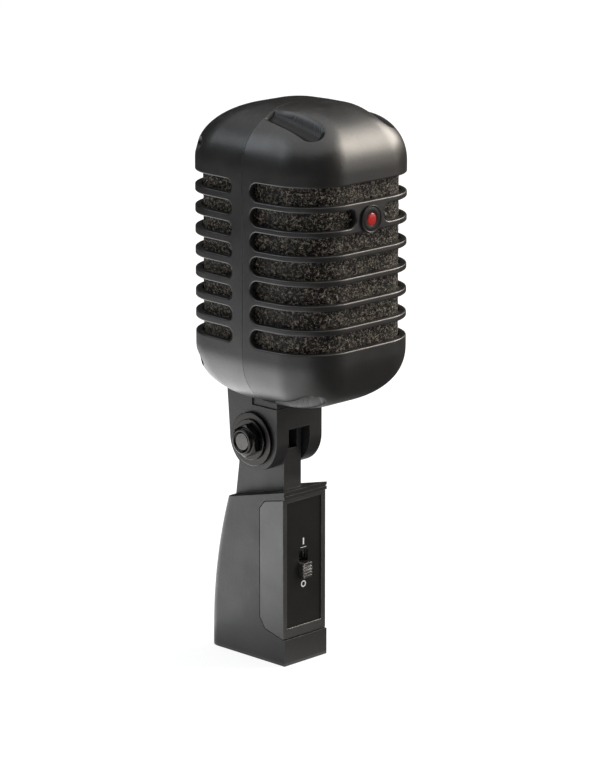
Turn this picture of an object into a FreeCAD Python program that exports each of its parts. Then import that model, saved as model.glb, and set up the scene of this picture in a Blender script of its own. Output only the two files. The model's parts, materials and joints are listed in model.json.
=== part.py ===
import FreeCAD, Part
import math
import os
import re

import Sketcher
from FreeCAD import Placement, Rotation, Vector

# A side-address dynamic microphone: a slotted two-part head on a clevis bracket, tilting on a
# bolt through the tongue of a die-cast base with a slide switch, an XLR socket and a stand thread.
# Millimetres. +Z up, the front faces -Y, the origin is on the stand thread's axis at the bottom face.

doc = FreeCAD.newDocument("Microphone")
sheet = doc.addObject("Spreadsheet::Sheet", "Sizes")

SIZES = [
    # head shells: half sizes are measured from the head's vertical centre line
    ("head_centre_y", -15.1), ("head_half_width", 28.4), ("head_front_depth", 29.8),
    ("head_rear_depth", 32.9), ("head_flare", 4.2), ("head_corner_radius", 16.8), ("head_wall", 2.2),
    ("dome_rise", 20.2), ("dome_fullness", 2.3), ("side_low_z", 110.0), ("side_height", 60.5),
    # slots
    ("front_slot_count", 7), ("front_slot_pitch", 8.0), ("front_slot_height", 6.1),
    ("front_slot_low", 3.4), ("front_slot_setback", 3.2),
    ("rear_slot_count", 8), ("rear_slot_pitch", 7.0), ("rear_slot_height", 4.5),
    ("rear_slot_low", 3.8), ("rear_slot_setback", 5.2),
    # scoops in the front shell, top and bottom
    ("scoop_offset", 17.2), ("scoop_start_radius", 3.2), ("scoop_end_radius", 4.4),
    ("scoop_length", 20.0), ("scoop_tilt", 12.5), ("scoop_axis_drop", 1.2), ("scoop_end_gap", 0.6),
    # badge
    ("badge_web_half", 6.3), ("badge_radius", 4.6), ("badge_drop", 1.0),
    ("badge_thickness", 0.9), ("badge_stud", 1.0),
    ("dot_radius", 2.3), ("dot_inset", 0.4), ("dot_proud", 0.15),
    # foam liners
    ("foam_gap", 0.3), ("foam_thickness", 3.8), ("foam_margin", 1.2),
    # shell screws and their bosses
    ("boss_inset", 5.9), ("boss_drop", 5.2), ("front_boss_radius", 3.2), ("front_boss_length", 12.0),
    ("rear_boss_radius", 4.2), ("screw_radius", 1.5), ("screw_head_radius", 2.6),
    ("screw_head_height", 2.0), ("screw_seat", 10.0), ("screw_bite", 9.0), ("screw_gap", 0.05),
    ("head_pocket_gap", 0.3), ("cross_width", 0.7), ("cross_length", 3.2), ("cross_depth", 1.1),
    # capsule
    ("capsule_z", 140.0), ("capsule_front_y", -34.0), ("capsule_radius", 15.0),
    ("capsule_length", 16.0), ("capsule_wall", 1.2), ("grille_thickness", 0.8),
    ("grille_hole", 1.3), ("diaphragm_gap", 2.0), ("diaphragm_thickness", 0.4), ("coil_radius", 9.0),
    ("coil_wall", 0.6), ("coil_length", 4.0), ("pole_radius", 8.3), ("pole_thickness", 3.0),
    ("magnet_length", 6.0), ("magnet_inset", 0.4), ("pot_radius", 13.2), ("pot_wall", 1.6),
    ("plate_hole", 10.3), ("plate_thickness", 2.4), ("pot_back", 2.0), ("fit_gap", 0.1),
    ("shock_thickness", 2.8), ("shock_length", 7.0), ("shock_setback", 3.0),
    ("ring_wall", 1.5), ("post_half_width", 6.0), ("post_thickness", 4.0),
    # carrier foot, boss and transformer
    ("foot_z", 97.0), ("foot_thickness", 2.0), ("foot_half_width", 11.5), ("foot_rear_y", 6.0),
    ("foot_margin", 0.5), ("core_shift", 2.0),
    ("core_half_width", 8.0), ("core_length", 7.0), ("core_height", 13.0),
    ("core_leg", 2.6), ("coil_overhang", 1.2), ("wire_hole_radius", 2.0), ("lead_radius", 1.1),
    # clevis bracket and pivot
    ("pivot_y", -2.0), ("pivot_z", 76.6), ("ear_radius", 11.0), ("bracket_half_width", 10.65),
    ("ear_gap_half", 5.0), ("bracket_wall", 3.0), ("window_rise", 3.9), ("ceiling_rise", 9.4),
    ("bracket_seat_gap", 0.08), ("shoulder_rise", 11.6), ("shoulder_back", 0.5),
    ("shoulder_step", 0.5), ("pivot_radius", 3.0), ("pivot_clearance", 0.05),
    ("ear_lean", 2.0),
    ("bracket_screw_x", 7.8), ("bracket_screw_bite", 7.5),
    ("flat_washer_radius", 9.1), ("flat_washer_thickness", 1.2), ("lock_washer_radius", 6.9),
    ("lock_washer_thickness", 0.9), ("nut_across_flats", 10.0), ("nut_height", 2.4),
    ("nut_collar_radius", 4.3), ("nut_collar_height", 1.2), ("nut_mouth_radius", 3.45), ("bolt_inset", 0.3),
    ("bolt_head_radius", 5.2), ("bolt_head_height", 3.2),
    ("bolt_socket_flats", 4.0), ("bolt_socket_depth", 2.0), ("bolt_washer_radius", 6.2),
    ("bolt_washer_thickness", 1.2), ("friction_washer_radius", 7.0), ("side_play", 0.05),
    ("friction_washer_gap", 0.05),
    # base casting and tongue
    ("base_half_width", 10.1), ("base_front_y", -16.0), ("base_rear_y", 20.6), ("base_back_low", 5.0),
    ("base_back_radius", 160.0), ("base_front_top", 60.5), ("base_rear_top", 53.4),
    ("base_rear_round", 4.5), ("tongue_half_width", 4.05), ("tongue_front_y", -9.8),
    ("tongue_top_radius", 8.5), ("tongue_back_low_y", 13.0), ("tongue_back_high_y", 11.3),
    ("tongue_back_high_z", 65.6), ("tongue_root_z", 50.0),
    ("notch_half_width", 2.1), ("notch_depth", 4.2), ("notch_drop", 3.6), ("lead_bore_radius", 1.3),
    ("tongue_lead_radius", 1.1), ("lead_low_y", -0.6), ("lead_reach", 2.0), ("lead_shift", 0.5),
    ("cavity_half_width", 6.9), ("cavity_rear_y", 5.0), ("cavity_low_z", 20.0),
    ("cavity_high_z", 49.0),
    # front cover and switch plate
    ("cover_low_z", 9.2), ("cover_high_z", 57.7), ("cover_rear_y", -4.3), ("cover_low_rise", 3.4),
    ("cover_high_drop", 2.2), ("cover_corner", 2.4), ("cover_gap", 0.15), ("cover_wall", 1.6),
    ("cover_front_wall", 2.6), ("cover_setback", 0.6), ("plate_half_width", 8.2),
    ("plate_low_z", 12.7), ("plate_high_z", 56.2), ("plate_recess", 1.3), ("plate_sheet", 0.8),
    ("plate_gap", 0.05), ("lip_groove_z", 1.1), ("lip_groove", 0.4),
    # slide switch
    ("knob_half_width", 1.9), ("knob_low_z", 29.3), ("knob_height", 5.2), ("knob_proud", 2.3),
    ("knob_travel", 3.6), ("slot_gap", 0.3), ("knob_grooves", 4), ("knob_groove", 0.5),
    ("frame_half_width", 4.6), ("frame_margin", 5.6), ("frame_depth", 5.8), ("frame_wall", 1.0),
    ("slider_margin", 3.6), ("slider_thickness", 2.2), ("slider_gap", 0.2), ("board_thickness", 1.2),
    # XLR socket and stand thread
    ("xlr_z", 26.0), ("xlr_radius", 8.0), ("xlr_depth", 15.0), ("insert_thickness", 5.0),
    ("insert_gap", 0.04), ("pin_radius", 1.2), ("pin_circle", 4.75), ("pin_length", 7.5),
    ("pin_tail", 2.0), ("base_lead_radius", 0.6), ("base_lead_x", 2.2),
    ("thread_radius", 7.94), ("thread_depth", 12.5),
]

for row, (alias, value) in enumerate(SIZES, start=1):
    sheet.set(f"A{row}", alias)
    sheet.set(f"B{row}", repr(value))
    sheet.setAlias(f"B{row}", alias)
doc.recompute()

ALIASES = {alias for alias, _ in SIZES}


def expr(text):
    """The expression in which every size's name reads its cell."""
    return re.sub(r"[A-Za-z_]\w*", lambda m: f"Sizes.{m[0]}" if m[0] in ALIASES else m[0], str(text))


def value(alias):
    """A size, as a plain number."""
    return float(sheet.get(alias))


def worked_out(text):
    """The number that an expression of sizes gives."""
    return float(sheet.evalExpression(expr(text)))


def bind(item, **sizes):
    for name, text in sizes.items():
        item.setExpression(name.replace("__", "."), expr(text))
    return item


def place(item, x, y, z):
    return bind(item, Placement__Base__x=x, Placement__Base__y=y, Placement__Base__z=z)


TURNS = {
    "Z": Rotation(), "X": Rotation(Vector(0, 1, 0), 90), "-X": Rotation(Vector(0, 1, 0), -90),
    "Y": Rotation(Vector(1, 0, 0), -90), "-Y": Rotation(Vector(1, 0, 0), 90),
}


def box(name, x0, x1, y0, y1, z0, z1):
    item = doc.addObject("Part::Box", name)
    bind(item, Length=f"({x1}) - ({x0})", Width=f"({y1}) - ({y0})", Height=f"({z1}) - ({z0})")
    return place(item, x0, y0, z0)


def rod(name, radius, length, x, y, z, axis="Z"):
    """A cylinder that starts at (x, y, z) and runs along the axis."""
    item = doc.addObject("Part::Cylinder", name)
    item.Placement = Placement(Vector(), TURNS[axis])
    bind(item, Radius=radius, Height=length)
    return place(item, x, y, z)


def cone(name, radius, end_radius, length, x, y, z, axis="Z"):
    item = doc.addObject("Part::Cone", name)
    item.Placement = Placement(Vector(), TURNS[axis])
    bind(item, Radius1=radius, Radius2=end_radius, Height=length)
    return place(item, x, y, z)


def hexagon(name, across_flats, length, x, y, z, axis):
    item = doc.addObject("Part::Prism", name)
    item.Polygon = 6
    item.Placement = Placement(Vector(), TURNS[axis])
    bind(item, Circumradius=f"({across_flats}) / sqrt(3)", Height=length)
    return place(item, x, y, z)


def fuse(name, *items):
    item = doc.addObject("Part::MultiFuse", name)
    item.Shapes = list(items)
    item.Refine = True
    return item


def cut(name, base, *tools):
    item = doc.addObject("Part::Cut", name)
    item.Base = base
    item.Tool = tools[0] if len(tools) == 1 else fuse(name + "_tools", *tools)
    item.Refine = False
    return item


def common(name, first, second):
    item = doc.addObject("Part::Common", name)
    item.Base = first
    item.Tool = second
    return item


def ring(name, radius, hole, length, x, y, z, axis):
    outer = rod(name + "_rim", radius, length, x, y, z, axis)
    return cut(name, outer, rod(name + "_hole", hole, length, x, y, z, axis))


SUBPARTS = {}


def subpart(node, item):
    """Names a finished piece: the label is its file's name."""
    item.Label = node
    SUBPARTS[node] = item
    return item


def side_pad(name, half_width, corners):
    """A body padded across X from a sketch in the side view.

    corners holds (y, z, radius): a radius other than None bows the edge that leaves
    that corner outwards, as an arc of that radius.
    """
    body = doc.addObject("PartDesign::Body", name)
    sketch = body.newObject("Sketcher::SketchObject", name + "_sketch")
    plane = [item for item in body.Origin.OriginFeatures if item.Role == "YZ_Plane"][0]
    sketch.AttachmentSupport = [(plane, "")]
    sketch.MapMode = "FlatFace"
    bind(sketch, AttachmentOffset__Base__z=f"-({half_width})")
    points = []
    for y_text, z_text, _ in corners:
        points.append(Vector(worked_out(y_text), worked_out(z_text), 0))
    count = len(corners)
    for index, (_, _, radius) in enumerate(corners):
        start, end = points[index], points[(index + 1) % count]
        if radius is None:
            sketch.addGeometry(Part.LineSegment(start, end), False)
            continue
        chord = end - start
        size = value(radius)
        reach = math.sqrt(size ** 2 - (chord.Length / 2) ** 2)
        outward = Vector(chord.y, -chord.x, 0).normalize()
        middle = (start + end) / 2 + outward * (size - reach)
        sketch.addGeometry(Part.Arc(start, middle, end), False)
    for index, (y_text, z_text, radius) in enumerate(corners):
        following = (index + 1) % count
        leaves, arrives = geometry_end(sketch, index, points[following]), geometry_end(
            sketch, following, points[following])
        sketch.addConstraint(Sketcher.Constraint("Coincident", index, leaves, following, arrives))
        own = geometry_end(sketch, index, points[index])
        for kind, text, number in (("DistanceX", y_text, points[index].x),
                                   ("DistanceY", z_text, points[index].y)):
            added = sketch.addConstraint(Sketcher.Constraint(kind, -1, 1, index, own, number))
            sketch.setExpression(f"Constraints[{added}]", expr(text))
        if radius is not None:
            added = sketch.addConstraint(Sketcher.Constraint("Radius", index, value(radius)))
            sketch.setExpression(f"Constraints[{added}]", expr(radius))
    pad = body.newObject("PartDesign::Pad", name + "_pad")
    pad.Profile = sketch
    bind(pad, Length=f"2 * ({half_width})")
    doc.recompute()
    return body


def geometry_end(sketch, index, point):
    """1 or 2: the end of an edge of the sketch that lies at a point."""
    edge = sketch.Geometry[index]
    return 1 if edge.StartPoint.distanceToPoint(point) < edge.EndPoint.distanceToPoint(point) else 2


def round_edges(body, name, radius, chosen):
    """A fillet on the edges of a body's last feature that chosen(edge) picks."""
    doc.recompute()
    tip = body.Tip
    names = [f"Edge{index + 1}" for index, edge in enumerate(tip.Shape.Edges) if chosen(edge)]
    fillet = body.newObject("PartDesign::Fillet", name)
    fillet.Base = (tip, names)
    bind(fillet, Radius=radius)
    doc.recompute()
    return body


# ---------------------------------------------------------------- head envelope

FAR = 200.0
SCALES = (1.0, 0.993, 0.97, 0.93, 0.87, 0.78, 0.66, 0.5, 0.34, 0.2)


def plan_quarter(inset, depth):
    """One quarter of the head's outline: ridge, end of the flared side, arc's middle, start of the flat."""
    flare = math.radians(value("head_flare"))
    radius = value("head_corner_radius") - inset
    depth = depth - inset
    width = value("head_half_width") - inset / math.cos(flare)
    corner_v = depth - radius
    corner_x = width - (radius + corner_v * math.sin(flare)) / math.cos(flare)
    tangent = Vector(corner_x + radius * math.cos(flare), corner_v + radius * math.sin(flare), 0)
    half = math.radians(45) + flare / 2
    middle = Vector(corner_x + radius * math.cos(half), corner_v + radius * math.sin(half), 0)
    return Vector(width, 0, 0), tangent, middle, Vector(corner_x, depth, 0)


def plan_wire(inset, scale, z):
    """The head's outline at one height: flared sides that meet in a ridge, big corners, flat front."""
    def at(point, side, front):
        return Vector(point.x * side * scale, value("head_centre_y") - point.y * front * scale, z)

    quarters = {1: plan_quarter(inset, value("head_front_depth")),
                -1: plan_quarter(inset, value("head_rear_depth"))}
    edges = []
    for side, front in ((1, 1), (-1, 1), (-1, -1), (1, -1)):
        ridge, tangent_point, arc_point, top = [at(point, side, front) for point in quarters[front]]
        if side * front > 0:
            arc = Part.Arc(tangent_point, arc_point, top).toShape()
            edges += [Part.makeLine(ridge, tangent_point), arc,
                      Part.makeLine(top, at(quarters[front][3], -side, front))]
        else:
            arc = Part.Arc(top, arc_point, tangent_point).toShape()
            edges += [arc, Part.makeLine(tangent_point, ridge)]
    return Part.Wire(edges)


def envelope(inset):
    """The head's closed outside, or the same form inset by a wall."""
    low, high = value("side_low_z"), value("side_low_z") + value("side_height")
    rise, fullness = value("dome_rise") - inset, value("dome_fullness")
    solid = Part.Face(plan_wire(inset, 1.0, low)).extrude(Vector(0, 0, high - low))
    for base, way in ((high, 1), (low, -1)):
        heights = [rise * (1 - scale ** fullness) ** (1 / fullness) for scale in SCALES]
        wires = [plan_wire(inset, scale, base + way * height) for scale, height in zip(SCALES, heights)]
        solid = solid.fuse(Part.makeLoft(wires, True, False))
    return solid.removeSplitter()


def shape_feature(name, shape):
    item = doc.addObject("Part::Feature", name)
    item.Shape = shape
    return item


head_outside = shape_feature("head_outside", envelope(0))
head_inside = shape_feature("head_inside", envelope(value("head_wall")))
front_half = box("front_half", -FAR, FAR, -FAR, "head_centre_y", 0, FAR + 100)
rear_half = box("rear_half", -FAR, FAR, "head_centre_y", FAR, 0, FAR + 100)

# ---------------------------------------------------------------- head shells


def slot_tools(side, way):
    """One cutter for each slot, rounded where it ends beside the ridge. way is -1 at the front."""
    tools = []
    height = f"{side}_slot_height"
    for index in range(int(value(f"{side}_slot_count"))):
        low = f"side_low_z + {side}_slot_low + {index} * {side}_slot_pitch"
        stop = f"head_centre_y + {way} * ({side}_slot_setback + {height} / 2)"
        ends = (-FAR, stop) if way < 0 else (stop, FAR)
        run = box(f"{side}_slot_run_{index + 1}", -FAR, FAR, ends[0], ends[1], low, f"{low} + {height}")
        end = rod(f"{side}_slot_end_{index + 1}", f"{height} / 2", 2 * FAR, -FAR, stop,
                  f"{low} + {height} / 2", "X")
        tools.append(fuse(f"{side}_slot_{index + 1}", run, end))
    return tools


BADGE_SLOT = "front_slot_count - 2"
badge_low = f"side_low_z + front_slot_low + ({BADGE_SLOT}) * front_slot_pitch"
badge_z = f"{badge_low} + front_slot_height / 2"

front_slots = slot_tools("front", -1)
badge_index = int(value("front_slot_count")) - 2
halves = []
for hand in (-1, 1):
    edge = f"{hand} * (badge_web_half + front_slot_height / 2)"
    ends = (-FAR, edge) if hand < 0 else (edge, FAR)
    halves.append(box(f"badge_slot_run_{hand + 2}", ends[0], ends[1], -FAR, FAR, badge_low,
                      f"{badge_low} + front_slot_height"))
    halves.append(rod(f"badge_slot_end_{hand + 2}", "front_slot_height / 2", 2 * FAR, edge, -FAR,
                      badge_z, "Y"))
front_slots[badge_index] = common("badge_slot", front_slots[badge_index], fuse("badge_sides", *halves))


def scoops(name, start, extra):
    """Tapered channels beside the middle of the front shell's top and bottom, flat where they start
    beside the seam and round at the far end. extra makes them larger all round."""
    tools = []
    for level, z, way in (("top", "side_low_z + side_height + dome_rise - scoop_axis_drop", 1),
                          ("bottom", "side_low_z - dome_rise + scoop_axis_drop", -1)):
        for hand in (-1, 1):
            tag = f"{name}_{level}_{hand + 2}"
            x = f"{hand} * scoop_offset"
            taper = cone(tag + "_taper", f"scoop_start_radius + {extra}", f"scoop_end_radius + {extra}",
                         "scoop_length", x, f"head_centre_y - {start}", z, "-Y")
            taper.setExpression("Placement.Rotation.Angle", expr(f"90 + {way} * scoop_tilt"))
            end = doc.addObject("Part::Sphere", tag + "_end")
            bind(end, Radius=f"scoop_end_radius + {extra}")
            place(end, x, f"head_centre_y - {start} - scoop_length * cos(scoop_tilt)",
                  f"{z} - {way} * scoop_length * sin(scoop_tilt)")
            tools.append(fuse(tag, taper, end))
    return tools


BOSSES = []
for level, z in (("low", "side_low_z - boss_drop"), ("high", "side_low_z + side_height + boss_drop")):
    for hand in (-1, 1):
        BOSSES.append((level, hand, f"{hand} * (head_half_width - boss_inset)", z))

front_bosses, rear_bosses, front_drills, rear_drills = [], [], [], []
for level, hand, x, z in BOSSES:
    tag = f"{level}_{hand + 2}"
    front_bosses.append(rod("front_boss_" + tag, "front_boss_radius", "front_boss_length", x,
                            "head_centre_y", z, "-Y"))
    rear_bosses.append(rod("rear_boss_" + tag, "rear_boss_radius", FAR, x, "head_centre_y", z, "Y"))
    front_drills.append(rod("front_drill_" + tag, "screw_radius + screw_gap", "screw_bite + 1", x,
                            "head_centre_y", z, "-Y"))
    rear_drills.append(rod("rear_drill_" + tag, "screw_radius + screw_gap", FAR, x,
                           "head_centre_y", z, "Y"))
    rear_drills.append(rod("rear_pocket_" + tag, "screw_head_radius + head_pocket_gap", FAR, x,
                           "head_centre_y + screw_seat", z, "Y"))

front_room = cut("front_room", common("front_room_half", head_inside, front_half),
                 *scoops("scoop_wall", "0", "head_wall"))
front_skin = cut("front_skin", common("front_outside", head_outside, front_half), front_room)
rear_skin = cut("rear_skin", common("rear_outside", head_outside, rear_half), head_inside)
front_block = fuse("front_block", front_skin,
                   common("front_boss_set", fuse("front_boss_rods", *front_bosses), head_outside))
badge_disc_z = f"{badge_z} - badge_drop"
badge_drill = rod("badge_drill", "badge_stud + screw_gap", FAR, 0, -FAR, badge_disc_z, "Y")
badge_drill.setExpression("Height", expr(f"{FAR} + head_centre_y"))
subpart("front_shell", cut("front_shell_cut", front_block, *front_slots,
                           *scoops("scoop", "scoop_end_gap", "0"), *front_drills, badge_drill))

foot_boss = common("foot_boss", head_outside, box(
    "foot_boss_block", "-foot_half_width", "foot_half_width", "head_centre_y", "foot_rear_y",
    "side_low_z - dome_rise - 5", "foot_z"))
rear_block = fuse("rear_block", rear_skin,
                  common("rear_boss_set", fuse("rear_boss_rods", *rear_bosses), head_outside), foot_boss)
wire_drill = rod("wire_drill", "wire_hole_radius", FAR, 0, "pivot_y", "pivot_z + ceiling_rise - 1")
wire_drill.setExpression("Height", expr("foot_z + foot_thickness + 2 - pivot_z - ceiling_rise"))
bracket_drills = [rod(f"bracket_drill_{hand + 2}", "screw_radius + screw_gap",
                      "foot_z + foot_thickness + 1 - side_low_z + dome_rise + bracket_screw_bite",
                      f"{hand} * bracket_screw_x", "pivot_y",
                      "side_low_z - dome_rise - bracket_screw_bite") for hand in (-1, 1)]
subpart("rear_shell", cut("rear_shell_cut", rear_block, *slot_tools("rear", 1), *rear_drills,
                          wire_drill, *bracket_drills))

badge_y = "head_centre_y - head_front_depth - badge_thickness"
subpart("badge_disc", cut(
    "badge_body",
    fuse("badge_blank", rod("badge_plate", "badge_radius", "badge_thickness", 0, badge_y, badge_disc_z, "Y"),
         rod("badge_stud_rod", "badge_stud", "badge_thickness + head_wall", 0, badge_y, badge_disc_z, "Y")),
    rod("badge_pocket", "dot_radius", "dot_inset", 0, badge_y, badge_disc_z, "Y")))
subpart("badge_dot", rod("badge_dot_rod", "dot_radius - plate_gap", "dot_inset + dot_proud", 0,
                         f"{badge_y} - dot_proud", badge_disc_z, "Y"))


def foam(name, half):
    low = value("side_low_z") + value("foam_margin")
    high = value("side_low_z") + value("side_height") - value("foam_margin")
    outer_inset = value("head_wall") + value("foam_gap")
    outer = Part.Face(plan_wire(outer_inset, 1.0, low))
    inner = Part.Face(plan_wire(outer_inset + value("foam_thickness"), 1.0, low))
    liner = outer.cut(inner).extrude(Vector(0, 0, high - low))
    return common(name + "_half", shape_feature(name + "_sleeve", liner), half)


foam_front_half = box("foam_front_half", -FAR, FAR, -FAR, "head_centre_y - fit_gap", 0, FAR + 100)
foam_rear_half = box("foam_rear_half", -FAR, FAR, "head_centre_y + fit_gap", FAR, 0, FAR + 100)
subpart("front_foam", foam("front_foam", foam_front_half))
subpart("rear_foam", foam("rear_foam", foam_rear_half))


def cross_screw(name, length, x, y, z, axis):
    """A pan-head screw with a cross slot: (x, y, z) is under the head, the shank runs along the axis."""
    against = {"-Y": "Y", "-Z": "Z"}[axis]
    head = rod(name + "_head", "screw_head_radius", "screw_head_height", x, y, z, against)
    if axis == "-Y":
        shank = rod(name + "_shank", "screw_radius", length, x, y, z, "-Y")
        top = f"({y}) + screw_head_height"
        slots = [box(name + f"_slot_{turn}", f"({x}) - {across} / 2", f"({x}) + {across} / 2",
                     f"{top} - cross_depth", top, f"({z}) - {along} / 2", f"({z}) + {along} / 2")
                 for turn, across, along in ((1, "cross_width", "cross_length"),
                                             (2, "cross_length", "cross_width"))]
    else:
        shank = rod(name + "_shank", "screw_radius", length, x, y, f"({z}) - ({length})", "Z")
        top = f"({z}) + screw_head_height"
        slots = [box(name + f"_slot_{turn}", f"({x}) - {across} / 2", f"({x}) + {across} / 2",
                     f"({y}) - {along} / 2", f"({y}) + {along} / 2", f"{top} - cross_depth", top)
                 for turn, across, along in ((1, "cross_width", "cross_length"),
                                             (2, "cross_length", "cross_width"))]
    return cut(name, fuse(name + "_blank", head, shank), *slots)


for number, (level, hand, x, z) in enumerate(BOSSES, start=1):
    subpart(f"shell_screw_{number}", cross_screw(f"shell_screw_{number}_cut", "screw_seat + screw_bite",
                                                 x, "head_centre_y + screw_seat", z, "-Y"))

# ---------------------------------------------------------------- capsule

front_y = "capsule_front_y"
bore = "(capsule_radius - capsule_wall)"
subpart("capsule_housing", ring("capsule_housing_ring", "capsule_radius", bore, "capsule_length", 0,
                                front_y, "capsule_z", "Y"))

holes = [rod("grille_hole_0", "grille_hole", "grille_thickness", 0, front_y, "capsule_z", "Y")]
for circle, count in ((1, 6), (2, 12), (3, 18)):
    for index in range(count):
        angle = 360.0 * index / count
        reach = f"{circle} * ({bore} - grille_hole) / 3.3"
        holes.append(rod(f"grille_hole_{circle}_{index}", "grille_hole * 0.9", "grille_thickness",
                         f"{reach} * cos({angle})", front_y, f"capsule_z + {reach} * sin({angle})", "Y"))
subpart("capsule_grille", cut("capsule_grille_cut", rod(
    "grille_disc", f"{bore} - fit_gap", "grille_thickness", 0, front_y, "capsule_z", "Y"), *holes))

diaphragm_y = f"{front_y} + grille_thickness + diaphragm_gap"
rim_y = f"{front_y} + grille_thickness + diaphragm_gap + diaphragm_thickness"
subpart("diaphragm", rod("diaphragm_disc", f"{bore} - fit_gap", "diaphragm_thickness", 0, diaphragm_y,
                         "capsule_z", "Y"))
subpart("voice_coil", ring("voice_coil_ring", "coil_radius + coil_wall", "coil_radius", "coil_length", 0,
                           rim_y, "capsule_z", "Y"))

plate_y = f"{rim_y} + coil_length - plate_thickness"
plate_rear = f"{plate_y} + plate_thickness"
subpart("top_plate", ring("top_plate_ring", "pot_radius", "plate_hole", "plate_thickness", 0, plate_y,
                          "capsule_z", "Y"))
subpart("pole_piece", rod("pole_rod", "pole_radius", "pole_thickness", 0,
                          f"{plate_rear} - pole_thickness", "capsule_z", "Y"))
subpart("magnet", rod("magnet_rod", "pole_radius - magnet_inset", "magnet_length", 0, plate_rear,
                      "capsule_z", "Y"))
pot_rear = f"{plate_rear} + magnet_length + pot_back"
subpart("magnet_pot", cut("magnet_pot_cut", rod(
    "pot_rod", "pot_radius", "magnet_length + pot_back", 0, plate_rear, "capsule_z", "Y"), rod(
    "pot_bore", "pot_radius - pot_wall", "magnet_length", 0, plate_rear, "capsule_z", "Y")))

shock_y = f"{front_y} + shock_setback"
shock_radius = "(capsule_radius + fit_gap + shock_thickness)"
subpart("shock_mount", ring("shock_ring", shock_radius, "capsule_radius + fit_gap", "shock_length", 0,
                            shock_y, "capsule_z", "Y"))

ring_radius = f"({shock_radius} + fit_gap + ring_wall)"
carrier_ring = ring("carrier_ring", ring_radius, f"{shock_radius} + fit_gap", "shock_length", 0,
                    shock_y, "capsule_z", "Y")
post = box("carrier_post", "-post_half_width", "post_half_width", shock_y, f"{shock_y} + post_thickness",
           "foot_z", f"capsule_z - {shock_radius} - fit_gap - ring_wall / 2")
foot_top = "foot_z + foot_thickness"
foot = fuse("carrier_foot",
            box("foot_strip", "-post_half_width", "post_half_width", shock_y, "head_centre_y", "foot_z",
                foot_top),
            box("foot_pad", "-foot_half_width + foot_margin", "foot_half_width - foot_margin",
                "head_centre_y", "foot_rear_y", "foot_z", foot_top))
carrier = cut("carrier_cut", fuse("carrier_blank", carrier_ring, cut(
    "carrier_post_cut", post, rod("carrier_post_bore", f"{shock_radius} + fit_gap", "post_thickness", 0,
                                  shock_y, "capsule_z", "Y")), foot), wire_drill, *bracket_drills)
subpart("capsule_carrier", carrier)

# transformer on the carrier's foot, in front of the bracket screws
core_rear = "head_centre_y + core_shift"
core_front = f"{core_rear} - core_length"
core = box("core_block", "-core_half_width", "core_half_width", core_front, core_rear, foot_top,
           f"{foot_top} + core_height")
windows = [box(f"core_window_{hand + 2}",
               f"{hand} * core_half_width / 2 - (core_half_width / 2 - core_leg)",
               f"{hand} * core_half_width / 2 + (core_half_width / 2 - core_leg)",
               f"{core_front} - 1", f"{core_rear} + 1", f"{foot_top} + core_leg",
               f"{foot_top} + core_height - core_leg") for hand in (-1, 1)]
subpart("transformer_core", cut("transformer_core_cut", core, *windows))
coil_half = "(core_half_width - core_leg - fit_gap)"
coil = box("coil_block", f"-{coil_half}", coil_half, f"{core_front} - coil_overhang",
           f"{core_rear} + coil_overhang", f"{foot_top} + core_leg + fit_gap",
           f"{foot_top} + core_height - core_leg - fit_gap")
coil_bore = box("coil_bore", "-core_leg - fit_gap", "core_leg + fit_gap", f"{core_front} - fit_gap",
                f"{core_rear} + fit_gap", foot_top, f"{foot_top} + core_height")
subpart("transformer_coil", cut("transformer_coil_cut", coil, coil_bore))
subpart("head_lead", rod("head_lead_rod", "lead_radius",
                         "foot_z + foot_thickness + 1 - pivot_z - ceiling_rise", 0, "pivot_y",
                         "pivot_z + ceiling_rise"))

# ---------------------------------------------------------------- clevis bracket

pivot = ("pivot_y", "pivot_z")
across = "2 * bracket_half_width"
bracket_blank = fuse(
    "bracket_blank",
    rod("ear_round", "ear_radius", across, "-bracket_half_width", *pivot, "X"),
    side_pad("ear_block", "bracket_half_width", [
        ("pivot_y - ear_radius", "pivot_z", None), ("pivot_y + ear_radius", "pivot_z", None),
        ("pivot_y + ear_radius + ear_lean", "side_low_z - dome_rise / 3", None),
        ("pivot_y - ear_radius", "side_low_z - dome_rise / 3", None)]))
gap_low, gap_high = "pivot_z - ear_radius - 5", "pivot_z + ceiling_rise"
ear_gap = box("ear_gap", "-ear_gap_half", "ear_gap_half", "pivot_y - ear_radius + bracket_wall",
              "pivot_y + ear_radius + 5", gap_low, gap_high)
ear_window = box("ear_window", "-ear_gap_half", "ear_gap_half", "pivot_y - ear_radius - 5",
                 "pivot_y", gap_low, "pivot_z + window_rise")
pivot_bore = rod("pivot_bore", "pivot_radius + pivot_clearance", f"{across} + 4",
                 "-bracket_half_width - 2", *pivot, "X")
head_seat = shape_feature("head_seat", envelope(-value("bracket_seat_gap")))
shoulder_z = "pivot_z + shoulder_rise"
shoulder_rear = "pivot_y + shoulder_back"
shoulders = [box("shoulder_front", "-bracket_half_width", "bracket_half_width", "pivot_y - ear_radius",
                 "pivot_y - ear_radius + shoulder_step", shoulder_z, "side_low_z")]
for hand in (-1, 1):
    edges = sorted((f"{hand} * bracket_half_width", f"{hand} * (bracket_half_width - shoulder_step)"),
                   key=worked_out)
    shoulders.append(box(f"shoulder_side_{hand + 2}", edges[0], edges[1], "pivot_y - ear_radius",
                         shoulder_rear, shoulder_z, "side_low_z"))
subpart("clevis_bracket", cut("clevis_bracket_cut", bracket_blank, ear_gap, ear_window, pivot_bore,
                              head_seat, wire_drill, *bracket_drills, *shoulders))

for number, hand in enumerate((-1, 1), start=1):
    subpart(f"bracket_screw_{number}", cross_screw(
        f"bracket_screw_{number}_cut", "foot_z + foot_thickness - side_low_z + dome_rise"
        " + bracket_screw_bite - 0.5", f"{hand} * bracket_screw_x", "pivot_y",
        "foot_z + foot_thickness", "-Z"))

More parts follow.
